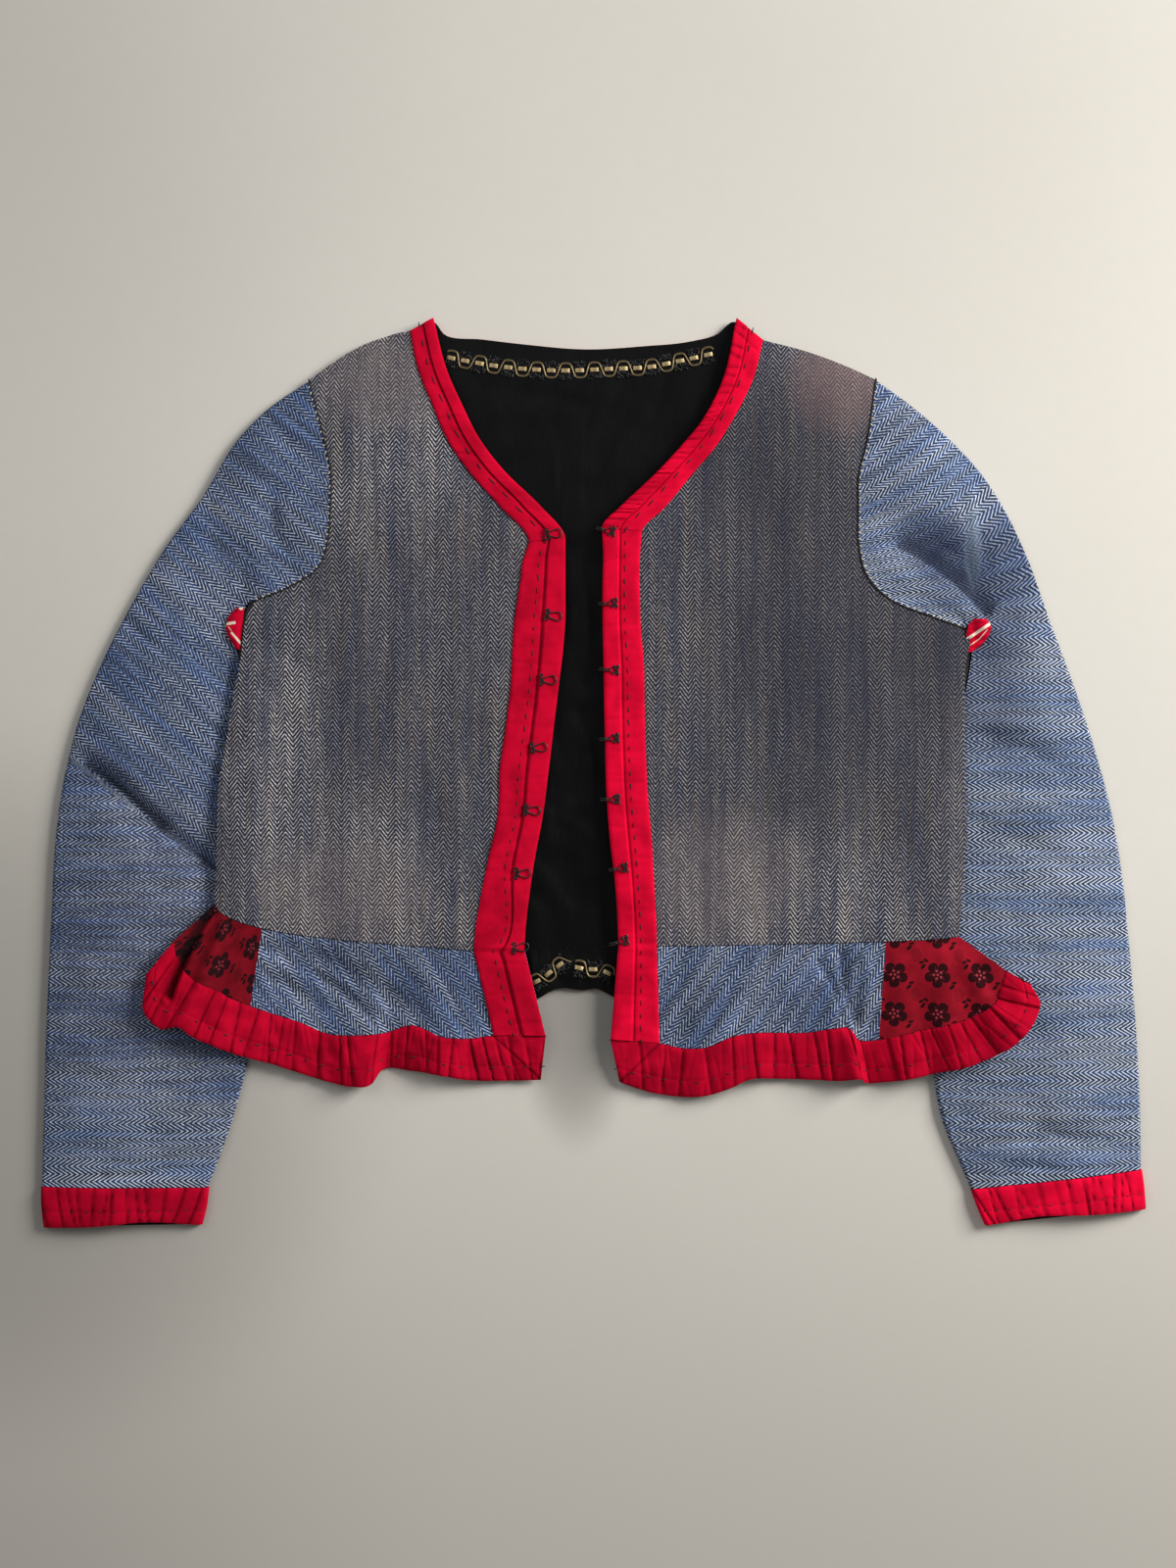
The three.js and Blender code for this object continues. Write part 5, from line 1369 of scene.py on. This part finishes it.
def ring_points(x, y, tops, floors, span, roll, thickness):
    """Closed rings round the sleeve with rounded folds; thickness moves them inwards."""
    direction = np.stack([x[:, -1] - x[:, 0], y[:, -1] - y[:, 0]], axis=1)
    direction /= np.linalg.norm(direction, axis=1)[:, None]
    s = np.linspace(0, 1, x.shape[1])[None]
    outwards = np.where(s < 0.5, -1.0, 1.0) * np.exp(-np.minimum(s, 1 - s) * span / 6)
    shift = outwards * (roll - thickness)
    x, y = x + direction[:, 0:1] * shift, y + direction[:, 1:2] * shift
    middle = (tops + floors) / 2
    from_fold = np.minimum(s, 1 - s) * span
    round_it = np.sqrt(np.clip(1 - (1 - np.clip(from_fold / 4.0, 0, 1)) ** 2, 0, 1))
    upper = middle + (tops - thickness - middle) * round_it
    lower = middle - (middle - floors - thickness) * round_it
    top = np.dstack([x, y, upper])
    return np.concatenate([top, np.dstack([x, y, lower])[:, under_columns(x.shape[1])]], axis=1)


def under_columns(count):
    """Which places the plainer under side of a sleeve uses, run back from its inner fold."""
    return np.concatenate([
        np.arange(count - 2, count - 7, -1), np.arange(count - 8, 6, -4), np.arange(5, 0, -1),
    ])


def sleeve_cloth(half, x, y):
    """Cloth coordinates of a sleeve: bands slant as far as the elbow and run level below it."""
    px, py, nx, ny, wide, slant = ELBOWS[half.name]
    dx, dy = x - px, y - py
    c, s = math.cos(math.radians(slant)), half.sign * math.sin(math.radians(slant))
    upper = smooth((dx * nx + dy * ny) / wide + 0.5)
    return np.dstack([mix(dx, dx * c + dy * s, upper), mix(-dy, dx * s - dy * c, upper)])


def around(count):
    """Places round a sleeve, closer together near its folds."""
    s = np.linspace(0, 1, count)
    return (mix(s, 0.5 - 0.5 * np.cos(np.pi * s), 0.6))[None]


def build_sleeves():
    """The sleeves, each a flat tube of cloth."""
    step = sizes().grid_step
    for half in HALVES:
        start = np.concatenate([half.armhole[0], half.armhole[-1]])
        k = even_rows(np.vstack([start, half.sleeve]), step)
        x, y, *heights = sleeve_rings(half, k, around(int(SLEEVE_ROUND / step)))
        x = x + half.sign * GAP * np.clip(1 - k[:, None], 0, 1)
        outer = ring_points(x, y, *heights, 0.0)
        inner = ring_points(x, y, *heights, sizes().cloth_wall)
        uv = sleeve_cloth(half, outer[..., 0], outer[..., 1])
        # How deep in a crease each point lies, for the painted shade in the sleeve's creases
        groove = np.clip(troughs(SLEEVE_CREASES, outer[..., 0], outer[..., 1]) / 2.6 - 0.6, 0, 1)
        name = f"sleeve_{half.name}"
        sleeve = tube(name, outer, inner, uv, finish_for("herringbone_sleeve"),
                      finish_for("black_satin"), groove)
        closed = np.concatenate([outer, outer[:, :1]], axis=1)
        cut(place(sleeve, name, slot="herringbone_sleeve"), closed)


def cuff_parts(half):
    """A cuff's plan points, heights, floors, span, roll and creases, from sleeve to mouth."""
    s = around(90)
    tops = sleeve_rings(half, np.array([float(len(half.sleeve))]), s)[2]
    k = np.linspace(0, len(half.cuff) - 1, CUFF_ROWS)
    ends = spline(half.cuff, k)
    x, y = between(ends, s)
    t = (k / k[-1])[:, None]
    puffs, crease = panels(s * 110 + 0 * t, t + 0 * s, 90 + half.sign, 7.5, 1.2, 0.2, 5.0)
    folds = 0.7 - puffs
    roll = 0.8 * np.exp(-t * CUFF_DEPTH) + 0.7 * np.exp(-(1 - t) * CUFF_DEPTH)
    stitch = 0.35 * np.exp(-(((t - 0.6) / 0.04) ** 2))
    height = tops + HEM - CLOTH - folds - roll - stitch + 0.4 * np.sin(np.pi * t)
    return x, y, height, 0 * height, breadth(ends), EDGE_ROLL + 0 * t, crease


def build_cuffs():
    """The red cuffs, black inside."""
    for half in HALVES:
        *shape, crease = cuff_parts(half)
        outer = ring_points(*shape, 0.0)
        inner = ring_points(*shape, sizes().facing_wall + 0.3)
        count = crease.shape[1]
        t, s = np.linspace(0, 1, len(crease))[:, None], np.linspace(0, 1, count)[None]
        show = np.exp(-(((s - 0.62) / 0.2) ** 2)) * smooth((t - 0.7) / 0.3)
        for rings in (outer, inner):
            rings[:, :count, 1] += 3.0 * show
        under = under_columns(count)
        across = s * shape[4]
        full = np.hstack([across, across[:, under]])
        uv = np.dstack([t * 27 + 0 * full, full])
        name = f"cuff_{half.name}"
        # Painted light on the right cuff's red, painted shade on the left cuff's
        red = finish_for("red_cotton_bright" if half.sign > 0 else "red_cotton_deep")
        cuff = tube(name, outer, inner, uv, red, finish_for("black_satin"),
                    np.hstack([crease, crease[:, under]]))
        closed = np.concatenate([outer, outer[:, :1]], axis=1)
        cut(place(cuff, name, slot="red_cotton"), closed, fullness=1.05)


def top_of_sleeve(half, x, y):
    """The height of a sleeve's upper side at plan points, from the nearest of its points."""
    k, s = np.linspace(0, 6, 90), np.linspace(0, 1, 120)[None]
    sx, sy, tops, _, _, _ = sleeve_rings(half, k, s)
    out = np.empty(x.shape)
    for index in np.ndindex(x.shape):
        away = (sx - x[index]) ** 2 + (sy - y[index]) ** 2
        out[index] = tops.flat[np.argmin(away)]
    return out


def build_gussets():
    """The small patches that bulge out under the arms."""
    for half in HALVES:
        rows = np.linspace(0, len(half.gusset) - 1, 26)
        table = spline(half.gusset, rows)
        u = np.linspace(0, 1, 14)[None]
        x = mix(table[:, 1:2], table[:, 2:3], u)
        y = table[:, 0:1] + 0 * u
        bulge = 1.6 * np.sin(np.pi * np.clip(u * 0.9 + 0.1, 0, 1)) - 1.5 * u**6
        pucker = 0.35 * np.sin(rows * 7.0)[:, None] * u
        z = top_of_sleeve(half, x, y) + OVER_CLEARANCE + GAP + CLOTH + bulge * 0.6 + pucker
        top = np.dstack([x, y, z])
        uv = np.dstack([u * 10 + 0 * y, y])
        name = f"gusset_{half.name}"
        patch = shell(name, top, sizes().cloth_wall, uv, finish_for("striped_cotton"))
        place(patch, name, slot="red_cotton" if half.sign > 0 else "striped_cotton")


# ---- hooks, eyes and their lashings --------------------------------------------------------
def arc(centre, radius, start, end, steps):
    """Points round a circle in the plane, from one angle to another in degrees."""
    angles = np.radians(np.linspace(start, end, steps + 1))
    return np.stack([
        centre[0] + radius * np.cos(angles), centre[1] + radius * np.sin(angles), 0 * angles,
    ], axis=1)


def mirrored(points):
    """The other half of a bent wire."""
    return (np.asarray(points) * (1, -1, 1))[::-1]


def eye_path():
    half = np.vstack([arc((-4.2, 2.2), 1.6, 60, 330, 12), arc((2.6, 0), 2.9, 115, 0, 8)])
    return np.vstack([half, mirrored(half[:-1])])


def hook_path():
    half = np.vstack([
        arc((4.2, 2.3), 1.6, 60, -210, 12),
        [(0, 0.75, 0), (-3, 0.7, 0), (-6.4, 0.7, 0), (-7.5, 0.7, 0.5), (-7.8, 0.7, 1.2),
         (-7.5, 0.7, 1.9), (-6.4, 0.7, 2.3), (-3.2, 0.6, 2.2), (-2.6, 0.3, 2.1)],
    ])
    return np.vstack([half, mirrored(half)])


def sweep(path, radius, sides=8):
    """Points and faces of a round wire along a path, its frame carried without twist."""
    path = np.asarray(path, float)
    keep = np.concatenate([[True], np.linalg.norm(np.diff(path, axis=0), axis=1) > 1e-4])
    path = path[keep]
    along = np.gradient(path, axis=0)
    along /= np.maximum(np.linalg.norm(along, axis=1), 1e-9)[:, None]
    side = np.array([0.0, 0.0, 1.0])
    angles = 2 * np.pi * np.arange(sides) / sides
    rings = []
    for point, direction in zip(path, along):
        side = side - direction * side.dot(direction)
        side = side / max(np.linalg.norm(side), 1e-9)
        across = np.cross(direction, side)
        ring = np.outer(np.cos(angles), side) + np.outer(np.sin(angles), across)
        rings.append(point + radius * ring)
    points = np.concatenate(rings + [path[:1], path[-1:]])
    body = grid_faces(len(path), sides, 0, True)
    first, last = len(path) * sides, len(path) * sides + 1
    j = np.arange(sides)
    k = (j + 1) % sides
    end = (len(path) - 1) * sides
    caps = np.concatenate([
        np.stack([np.full(sides, first), k, j, j], axis=1),
        np.stack([np.full(sides, last), end + j, end + k, end + k], axis=1),
    ])
    return points, body, caps


def wires(name, paths, radius, material, sides=8):
    """One object of several round wires."""
    points, quads, triangles, start = [], [], [], 0
    for path in paths:
        p, body, caps = sweep(path, radius, sides)
        points.append(p)
        quads.append(body + start)
        triangles.append(caps[:, :3] + start)
        start += len(p)
    points = np.concatenate(points)
    quads = np.concatenate(quads)
    faces = np.concatenate([
        quads[:, [0, 1, 2]], quads[:, [0, 2, 3]], np.concatenate(triangles),
    ])
    a, b, c = (points[faces[:, n]] for n in range(3))
    if np.einsum("ij,ij->", a, np.cross(b, c)) < 0:
        faces = faces[:, ::-1]
    return make_object(name, points, faces, [material], crisp=60)


def facing_top(half, x, y):
    """The top of the tucked part of a facing."""
    edge = half.edge_x(y)
    on_cloth = np.where(half.sign * (x - edge) < 0, edge, x)
    return half.under_front(on_cloth, y) + CLOTH + GAP + FACING + TUCK + GAP * 0.5


def turned(path, place_, half):
    """A bent wire laid on the facing, turned about its own middle."""
    x, y, degrees = place_
    c, s = math.cos(math.radians(degrees)), math.sin(math.radians(degrees))
    px = x + path[:, 0] * c - path[:, 1] * s
    py = y + path[:, 0] * s + path[:, 1] * c
    about = np.array([[x, x - 4, x + 4, x, x], [y, y, y, y - 3, y + 3]])
    base = float(facing_top(half, *about).max())
    return np.stack([px, py, base + WIRE + path[:, 2]], axis=1)


def build_fasteners():
    """The eyes on one edge and the hooks on the other, lashed down with black thread."""
    radius = sizes().wire_radius
    for half, places, path, kind, at in (
        (HALVES[0], EYES, eye_path(), "eye", -4.2), (HALVES[1], HOOKS, hook_path(), "hook", 4.2),
    ):
        for index, place_ in enumerate(places, 1):
            name = f"{kind}_{index}"
            wire = wires(name, [turned(path, place_, half)], radius, finish_for("dark_wire"))
            place(wire, name, slot="dark_wire")
            random = np.random.default_rng(100 + index + (50 if kind == "hook" else 0))
            threads = []
            for side in (-2.2, 0.0, 2.2):
                for _ in range(5 if side else 6):
                    lean = random.uniform(-0.9, 0.9)
                    reach = random.uniform(1.3, 2.4)
                    start = np.array([
                        at + random.uniform(-1.4, 1.4), side + random.uniform(-0.8, 0.8)])
                    run = np.array([math.sin(lean), math.cos(lean)]) * reach
                    line = [(*(start + run * f), 0.75 * (1 - (2 * f) ** 2) - 0.25)
                            for f in np.linspace(-0.5, 0.5, 5)]
                    threads.append(turned(np.array(line), place_, half))
            lashing = wires(f"{kind}_thread_{index}", threads, 0.27, finish_for("black_thread"), 5)
            place(lashing)


# ---- braid ---------------------------------------------------------------------------------
def braid_base(x, y):
    """The top of the lining, and below the waist of the skirt's lining."""
    relief = np.where(y > LINING_WAIST, lining_relief(x, y), swell(x, 1.6, 50) + 0.4)
    return back_height(x, y) + CLOTH + GAP + LINING + relief + 0.1


def follow(line, step):
    """Evenly spaced points along a line, with the sideways direction at each."""
    points = spline(line, even_rows(line, step))
    along = np.gradient(points, axis=0)
    along /= np.linalg.norm(along, axis=1)[:, None]
    return points, np.stack([-along[:, 1], along[:, 0]], axis=1)


def build_braids():
    """Gilt cord in square loops over small gilt bars, with clusters of black beads between."""
    random = np.random.default_rng(12)
    for node, line in (
        ("braid_neck", NECK_BRAID), ("braid_hem_left", HEM_BRAID_LEFT),
        ("braid_hem_right", HEM_BRAID_RIGHT),
    ):
        points, side = follow(line, 0.4)
        ahead = np.stack([side[:, 1], -side[:, 0]], axis=1)
        lengths = arc_length(points)
        wave = 2 * np.pi * (lengths + 1.5) / 19.5
        sway = 4.9 * np.tanh(2.1 * np.sin(wave)) / np.tanh(2.1)

        def on_lining(plan, rise):
            return np.column_stack([plan, braid_base(plan[:, 0], plan[:, 1]) + rise])

        paths = [on_lining(points + side * (sway + gap)[:, None], 0.5) for gap in (-0.36, 0.36)]
        bars = []
        for at in np.arange(3.4, lengths[-1] - 1, 9.75):
            i = int(np.searchsorted(lengths, at)) - 1
            for shift in (-1.0, -0.33, 0.33, 1.0):
                span = np.linspace(-2.7, 2.7, 7)[:, None]
                plan = points[i] + side[i] * shift + ahead[i] * span
                bars.append(on_lining(plan, 0.75 - 0.08 * span[:, 0] ** 2 - 0.2 * shift**2))
        place(wires(node, paths, 0.36, finish_for("dull_gilt"), 6), node, slot="gilt_braid")
        place(wires(node + "_bars", bars, 0.42, finish_for("gilt_cord"), 6))
        beads = []
        for at in np.arange(1.0, lengths[-1] - 0.6, 1.15):
            i = int(np.searchsorted(lengths, at)) - 1
            open_side = -np.sign(np.sin(wave[i]))
            for _ in range(3):
                out = open_side * random.uniform(1.8, 6.2)
                middle = points[i] + side[i] * out + ahead[i] * random.uniform(-0.8, 0.8)
                angle = random.uniform(0, np.pi)
                span = np.linspace(-0.75, 0.75, 4)[:, None]
                plan = middle + span * np.array([np.cos(angle), np.sin(angle)])
                beads.append(on_lining(plan, 0.3 + random.uniform(0, 0.3)))
        place(wires(node + "_beads", beads, 0.42, finish_for("black_bead"), 5))


# ---- sewing --------------------------------------------------------------------------------
def stitch_tree():
    """Geometry Nodes that lay one small stitch after another along a curve."""
    tree = bpy.data.node_groups.new("Stitches", "GeometryNodeTree")
    for name, kind, value in (
        ("Geometry", "Geometry", None), ("Pitch", "Float", 0.006), ("Length", "Float", 0.004),
        ("Radius", "Float", 0.0003), ("Slant", "Float", 0.0), ("Wander", "Float", 0.1),
        ("Seed", "Int", 1), ("Thread", "Material", None),
    ):
        socket = tree.interface.new_socket(name, in_out="INPUT", socket_type=f"NodeSocket{kind}")
        if value is not None:
            socket.default_value = value
    tree.interface.new_socket("Geometry", in_out="OUTPUT", socket_type="NodeSocketGeometry")
    nodes = Nodes(tree)
    add, given = nodes.node, nodes.node("NodeGroupInput").outputs
    rail = add("GeometryNodeResampleCurve", {"mode": "LENGTH"}, Curve=given["Geometry"],
               Length=given["Pitch"])
    stitch = add("GeometryNodeMeshUVSphere", Segments=8, Rings=5, Radius=1.0)
    tangent = add("GeometryNodeInputTangent").outputs[0]
    aim = add("FunctionNodeAlignEulerToVector", {"axis": "X"}, Vector=tangent)
    random = add("FunctionNodeRandomValue", {"data_type": "FLOAT"}, Seed=given["Seed"])
    jitter = Value(nodes, random.outputs[1])
    turn = Value(nodes, given["Slant"]) + (jitter - 0.5) * given["Wander"]
    rotate = add("FunctionNodeRotateEuler", {"space": "OBJECT"}, Rotation=aim.outputs[0],
                 Rotate_By=add("ShaderNodeCombineXYZ", Z=turn).outputs[0])
    vary = add("ShaderNodeMapRange", To_Min=0.36, To_Max=0.6, Value=jitter).outputs[0]
    size = add("ShaderNodeCombineXYZ", X=Value(nodes, given["Length"]) * vary,
               Y=given["Radius"], Z=given["Radius"])
    made = add("GeometryNodeInstanceOnPoints", Points=rail.outputs["Curve"],
               Instance=stitch.outputs["Mesh"], Rotation=rotate.outputs[0],
               Scale=size.outputs[0])
    for kind, settings in (
        ("GeometryNodeRealizeInstances", {}), ("GeometryNodeSetShadeSmooth", {}),
        ("GeometryNodeSetMaterial", {"Material": given["Thread"]}), ("NodeGroupOutput", {}),
    ):
        made = add(kind, Geometry=made.outputs[0], **settings)
    return tree


def sew(name, lines, thread, pitch, length, slant=0.0, wander=0.3, seed=1, radius=None):
    """Stitches along lines of points in mm, baked to one plain mesh."""
    curve = bpy.data.curves.new(name + "_rail", "CURVE")
    curve.dimensions = "3D"
    for line in lines:
        points = (np.asarray(line, float) + SHIFT) * MM
        path = curve.splines.new("POLY")
        path.points.add(len(points) - 1)
        path.points.foreach_set("co", np.column_stack([points, np.ones(len(points))]).ravel())
    rail = bpy.data.objects.new(name + "_rail", curve)
    bpy.context.scene.collection.objects.link(rail)
    tree = bpy.data.node_groups.get("Stitches") or stitch_tree()
    modifier = rail.modifiers.new("Stitches", "NODES")
    modifier.node_group = tree
    wanted = {
        "Pitch": pitch * MM, "Length": length * MM,
        "Radius": (radius or sizes().thread_radius) * MM, "Slant": math.radians(slant),
        "Wander": wander, "Seed": seed, "Thread": finish_for(thread),
    }
    for item in tree.interface.items_tree:
        if item.item_type == "SOCKET" and item.in_out == "INPUT" and item.name in wanted:
            modifier[item.identifier] = wanted[item.name]
    rail.data.update_tag()
    bpy.context.view_layer.update()
    evaluated = rail.evaluated_get(bpy.context.evaluated_depsgraph_get())
    mesh = bpy.data.meshes.new_from_object(evaluated)
    if not mesh.polygons:
        raise RuntimeError(f"no stitches were made for {name}")
    sewn = bpy.data.objects.new(name, mesh)
    bpy.context.scene.collection.objects.link(sewn)
    bpy.data.objects.remove(rail)
    return place(sewn)


def line_on(top, column, rise):
    """The points of one column of a grid, raised a little."""
    line = top[:, column].copy()
    line[:, 2] += rise
    return line


def beside(line, amount):
    """A line moved sideways in the plane."""
    along = np.gradient(line[:, :2], axis=0)
    along /= np.maximum(np.linalg.norm(along, axis=1), 1e-9)[:, None]
    moved = line.copy()
    moved[:, 0] -= along[:, 1] * amount
    moved[:, 1] += along[:, 0] * amount
    return moved


def build_sewing():
    """Running stitches along the facings and hems, overcast stitches round their edges."""
    s, black = sizes(), "black_thread"
    for half in HALVES:
        neck, front = facing_grid(half, "neck")[0], facing_grid(half, "front")[0]
        side = half.name
        sew(f"running_neck_{side}", [line_on(neck, FACING_STITCHES, 0.12)], black, 12.5, 6.2,
            0, 0.2, 3, 0.42)
        sew(f"running_front_{side}", [line_on(front, FACING_STITCHES, 0.12)], black, 8.5,
            s.stitch_length, 0, 0.25, 5, 0.36)
        edges = [line_on(neck, 0, 0.0), line_on(front, 0, 0.0)]
        sew(f"overcast_facing_{side}", edges, black, 4.6, 1.9, 65, 0.8, 4, 0.22)
        hem = hem_grid(half)[0]
        sew(f"running_hem_{side}", [line_on(hem, HEM_STITCHES, 0.2)], black, 11.5, 4.2, 0, 0.5,
            6, 0.4)
        sew(f"overcast_hem_{side}", [line_on(hem, 0, 0.3)], black, 5.5, 1.8, 70, 0.8, 7, 0.22)
        seam = spline(half.armhole, even_rows(half.armhole, 1.5))
        z = half.under_front(seam[:, 0], seam[:, 1]) + CLOTH + 0.15
        armhole = np.column_stack([seam, z])
        on_sleeve = beside(armhole, 0.9 * half.sign)
        on_sleeve[:, 2] += 0.15
        sew(f"overcast_cream_{side}", [on_sleeve], "cream_thread", 4.6, s.overcast_length,
            58 * half.sign, 0.9, 8, 0.36)
        sew(f"armhole_black_{side}", [armhole], black, 2.0, 3.4, 14 * half.sign, 0.4, 9, 0.62)
        x = spline(half.skirt[:, :1], np.linspace(0, GODET_SEAM, 160))[:, 0]
        y = waist_y(x) - 0.3
        waist = np.column_stack([x, y, half.under_front(x, y) + CLOTH + 0.05])
        sew(f"waist_{side}", [waist], black, 4.0, 3.0, 0, 0.3, 10, 0.2)
        x, y, tops = (part[CUFF_STITCHES] for part in cuff_parts(half)[:3])
        cuff_line = np.column_stack([x, y, tops + 0.2])[4:-4]
        sew(f"running_cuff_{side}", [cuff_line], black, 9.0, 3.4, 0, 0.4, 12)


# ---- stage ---------------------------------------------------------------------------------
def build_stage():
    """The pale surface, the window light and the camera above."""
    bpy.ops.mesh.primitive_plane_add(size=6.0, location=(0, 0, -0.0002))
    floor = bpy.context.object
    floor.name = "floor"
    finish = Finish("pale_surface", (0.62, 0.60, 0.56), 0.55)
    x, y = finish.lay()
    cloud = finish.noise(x * 0.004, y * 0.004, 3.0)
    grain = finish.noise(x * 0.08, y * 0.08, 4.0, 3.0)
    shade = cloud * 0.6 + grain * 0.25
    near = finish.blend(shade, (0.53, 0.50, 0.45), (0.60, 0.58, 0.54))
    # Painted shade: the surface darkens towards the bottom, the left and the top
    low = y.step(-620.0, -40.0)
    colour = finish.blend(low, (0.42, 0.395, 0.36), near)
    painted_floor_shade = 1 - (1 - x.step(-440.0, -60.0)) * 0.17 - y.step(180.0, 520.0) * 0.1
    # Painted shadows at the lower left and in the gap between the skirt's fronts
    painted_floor_shade = painted_floor_shade - spot(x, y, (-400, -215), (290, 270)) * 0.26
    painted_floor_shade = painted_floor_shade - spot(x, y, (-12, -160), (46, 105)) * 0.52
    finish.set("Base Color", finish.blend(painted_floor_shade, (0.0, 0.0, 0.0), colour))
    finish.bump(grain, 0.25, 0.25)
    floor.data.materials.append(finish.material)
    for name, place_, size, power, colour in (
        ("window", (2.3, 1.2, 1.35), 1.3, 150.0, (1.0, 0.985, 0.95)),
        ("sky", (-1.6, 1.4, 2.2), 2.0, 24.0, (0.93, 0.96, 1.0)),
    ):
        light = bpy.data.lights.new(name, "AREA")
        light.size, light.energy, light.color = size, power, colour
        lamp = bpy.data.objects.new(name, light)
        lamp.location = place_
        direction = -lamp.location
        lamp.rotation_euler = direction.to_track_quat("-Z", "Y").to_euler()
        bpy.context.scene.collection.objects.link(lamp)
    world = bpy.data.worlds.new("room")
    world.use_nodes = True
    back = world.node_tree.nodes["Background"]
    back.inputs["Color"].default_value = (0.95, 0.94, 0.92, 1)
    back.inputs["Strength"].default_value = 0.25
    scene = bpy.context.scene
    scene.world = world
    scene.view_settings.view_transform = "Standard"
    camera = bpy.data.cameras.new("camera")
    camera.lens, camera.sensor_width, camera.sensor_fit = 50, 36, "AUTO"
    camera.clip_end = 20
    eye = bpy.data.objects.new("camera", camera)
    eye.location = (
        (PICTURE_CENTRE[0] + SHIFT[0]) * MM, (PICTURE_CENTRE[1] + SHIFT[1]) * MM,
        CAMERA_HEIGHT * MM,
    )
    scene.collection.objects.link(eye)
    scene.camera = eye


# ---- operators -----------------------------------------------------------------------------
def operator(idname, label, text, build):
    """An operator class that runs one builder."""

    def execute(self, context):
        build()
        return {"FINISHED"}

    return type(f"JACKET_OT_{idname}", (bpy.types.Operator,), {
        "bl_idname": f"jacket.{idname}", "bl_label": label, "__doc__": text,
        "bl_options": {"REGISTER"}, "execute": execute,
    })


STEPS = (
    ("back", "Back and lining", "Make the back, its black lining and the band inside the neck",
     build_back),
    ("fronts", "Fronts", "Make the two herringbone fronts", build_fronts),
    ("facings", "Facings", "Make the red bands of the neck and the opening", build_facings),
    ("skirt", "Skirt", "Make the gathered skirt, its back and its lining", build_skirt),
    ("godets", "Godets", "Make the printed side pieces of the skirt", build_godets),
    ("hem_bands", "Hem bands", "Make the gathered red hem bands", build_hem_bands),
    ("sleeves", "Sleeves", "Make the two sleeves", build_sleeves),
    ("cuffs", "Cuffs", "Make the red cuffs", build_cuffs),
    ("gussets", "Underarm patches", "Make the patches under the arms", build_gussets),
    ("fasteners", "Hooks and eyes", "Make the hooks, the eyes and their thread", build_fasteners),
    ("braids", "Braid", "Make the gilt braid on the lining", build_braids),
    ("sewing", "Sewing", "Make the hand stitches", build_sewing),
    ("stage", "Stage", "Make the surface, the light and the camera", build_stage),
)
OPERATORS = [operator(*step) for step in STEPS]


class JACKET_PT_parts(bpy.types.Panel):
    """Lists the jacket's pieces and its settings."""

    bl_label = "Jacket"
    bl_idname = "JACKET_PT_parts"
    bl_space_type = "VIEW_3D"
    bl_region_type = "UI"
    bl_category = "Jacket"

    def draw(self, context):
        layout = self.layout
        for step in STEPS:
            layout.operator(f"jacket.{step[0]}")
        for settings in (context.scene.jacket_sizes, context.scene.jacket_colours):
            box = layout.box()
            for name in settings.bl_rna.properties.keys():
                if name not in {"rna_type", "name"}:
                    box.prop(settings, name)


CLASSES = [JacketSizes, JacketColours, *OPERATORS, JACKET_PT_parts]


def register():
    for cls in CLASSES:
        bpy.utils.register_class(cls)
    bpy.types.Scene.jacket_sizes = bpy.props.PointerProperty(type=JacketSizes)
    bpy.types.Scene.jacket_colours = bpy.props.PointerProperty(type=JacketColours)


def unregister():
    del bpy.types.Scene.jacket_colours
    del bpy.types.Scene.jacket_sizes
    for cls in reversed(CLASSES):
        bpy.utils.unregister_class(cls)


def main():
    register()
    for step in STEPS:
        getattr(bpy.ops.jacket, step[0])()


if __name__ == "__main__":
    main()
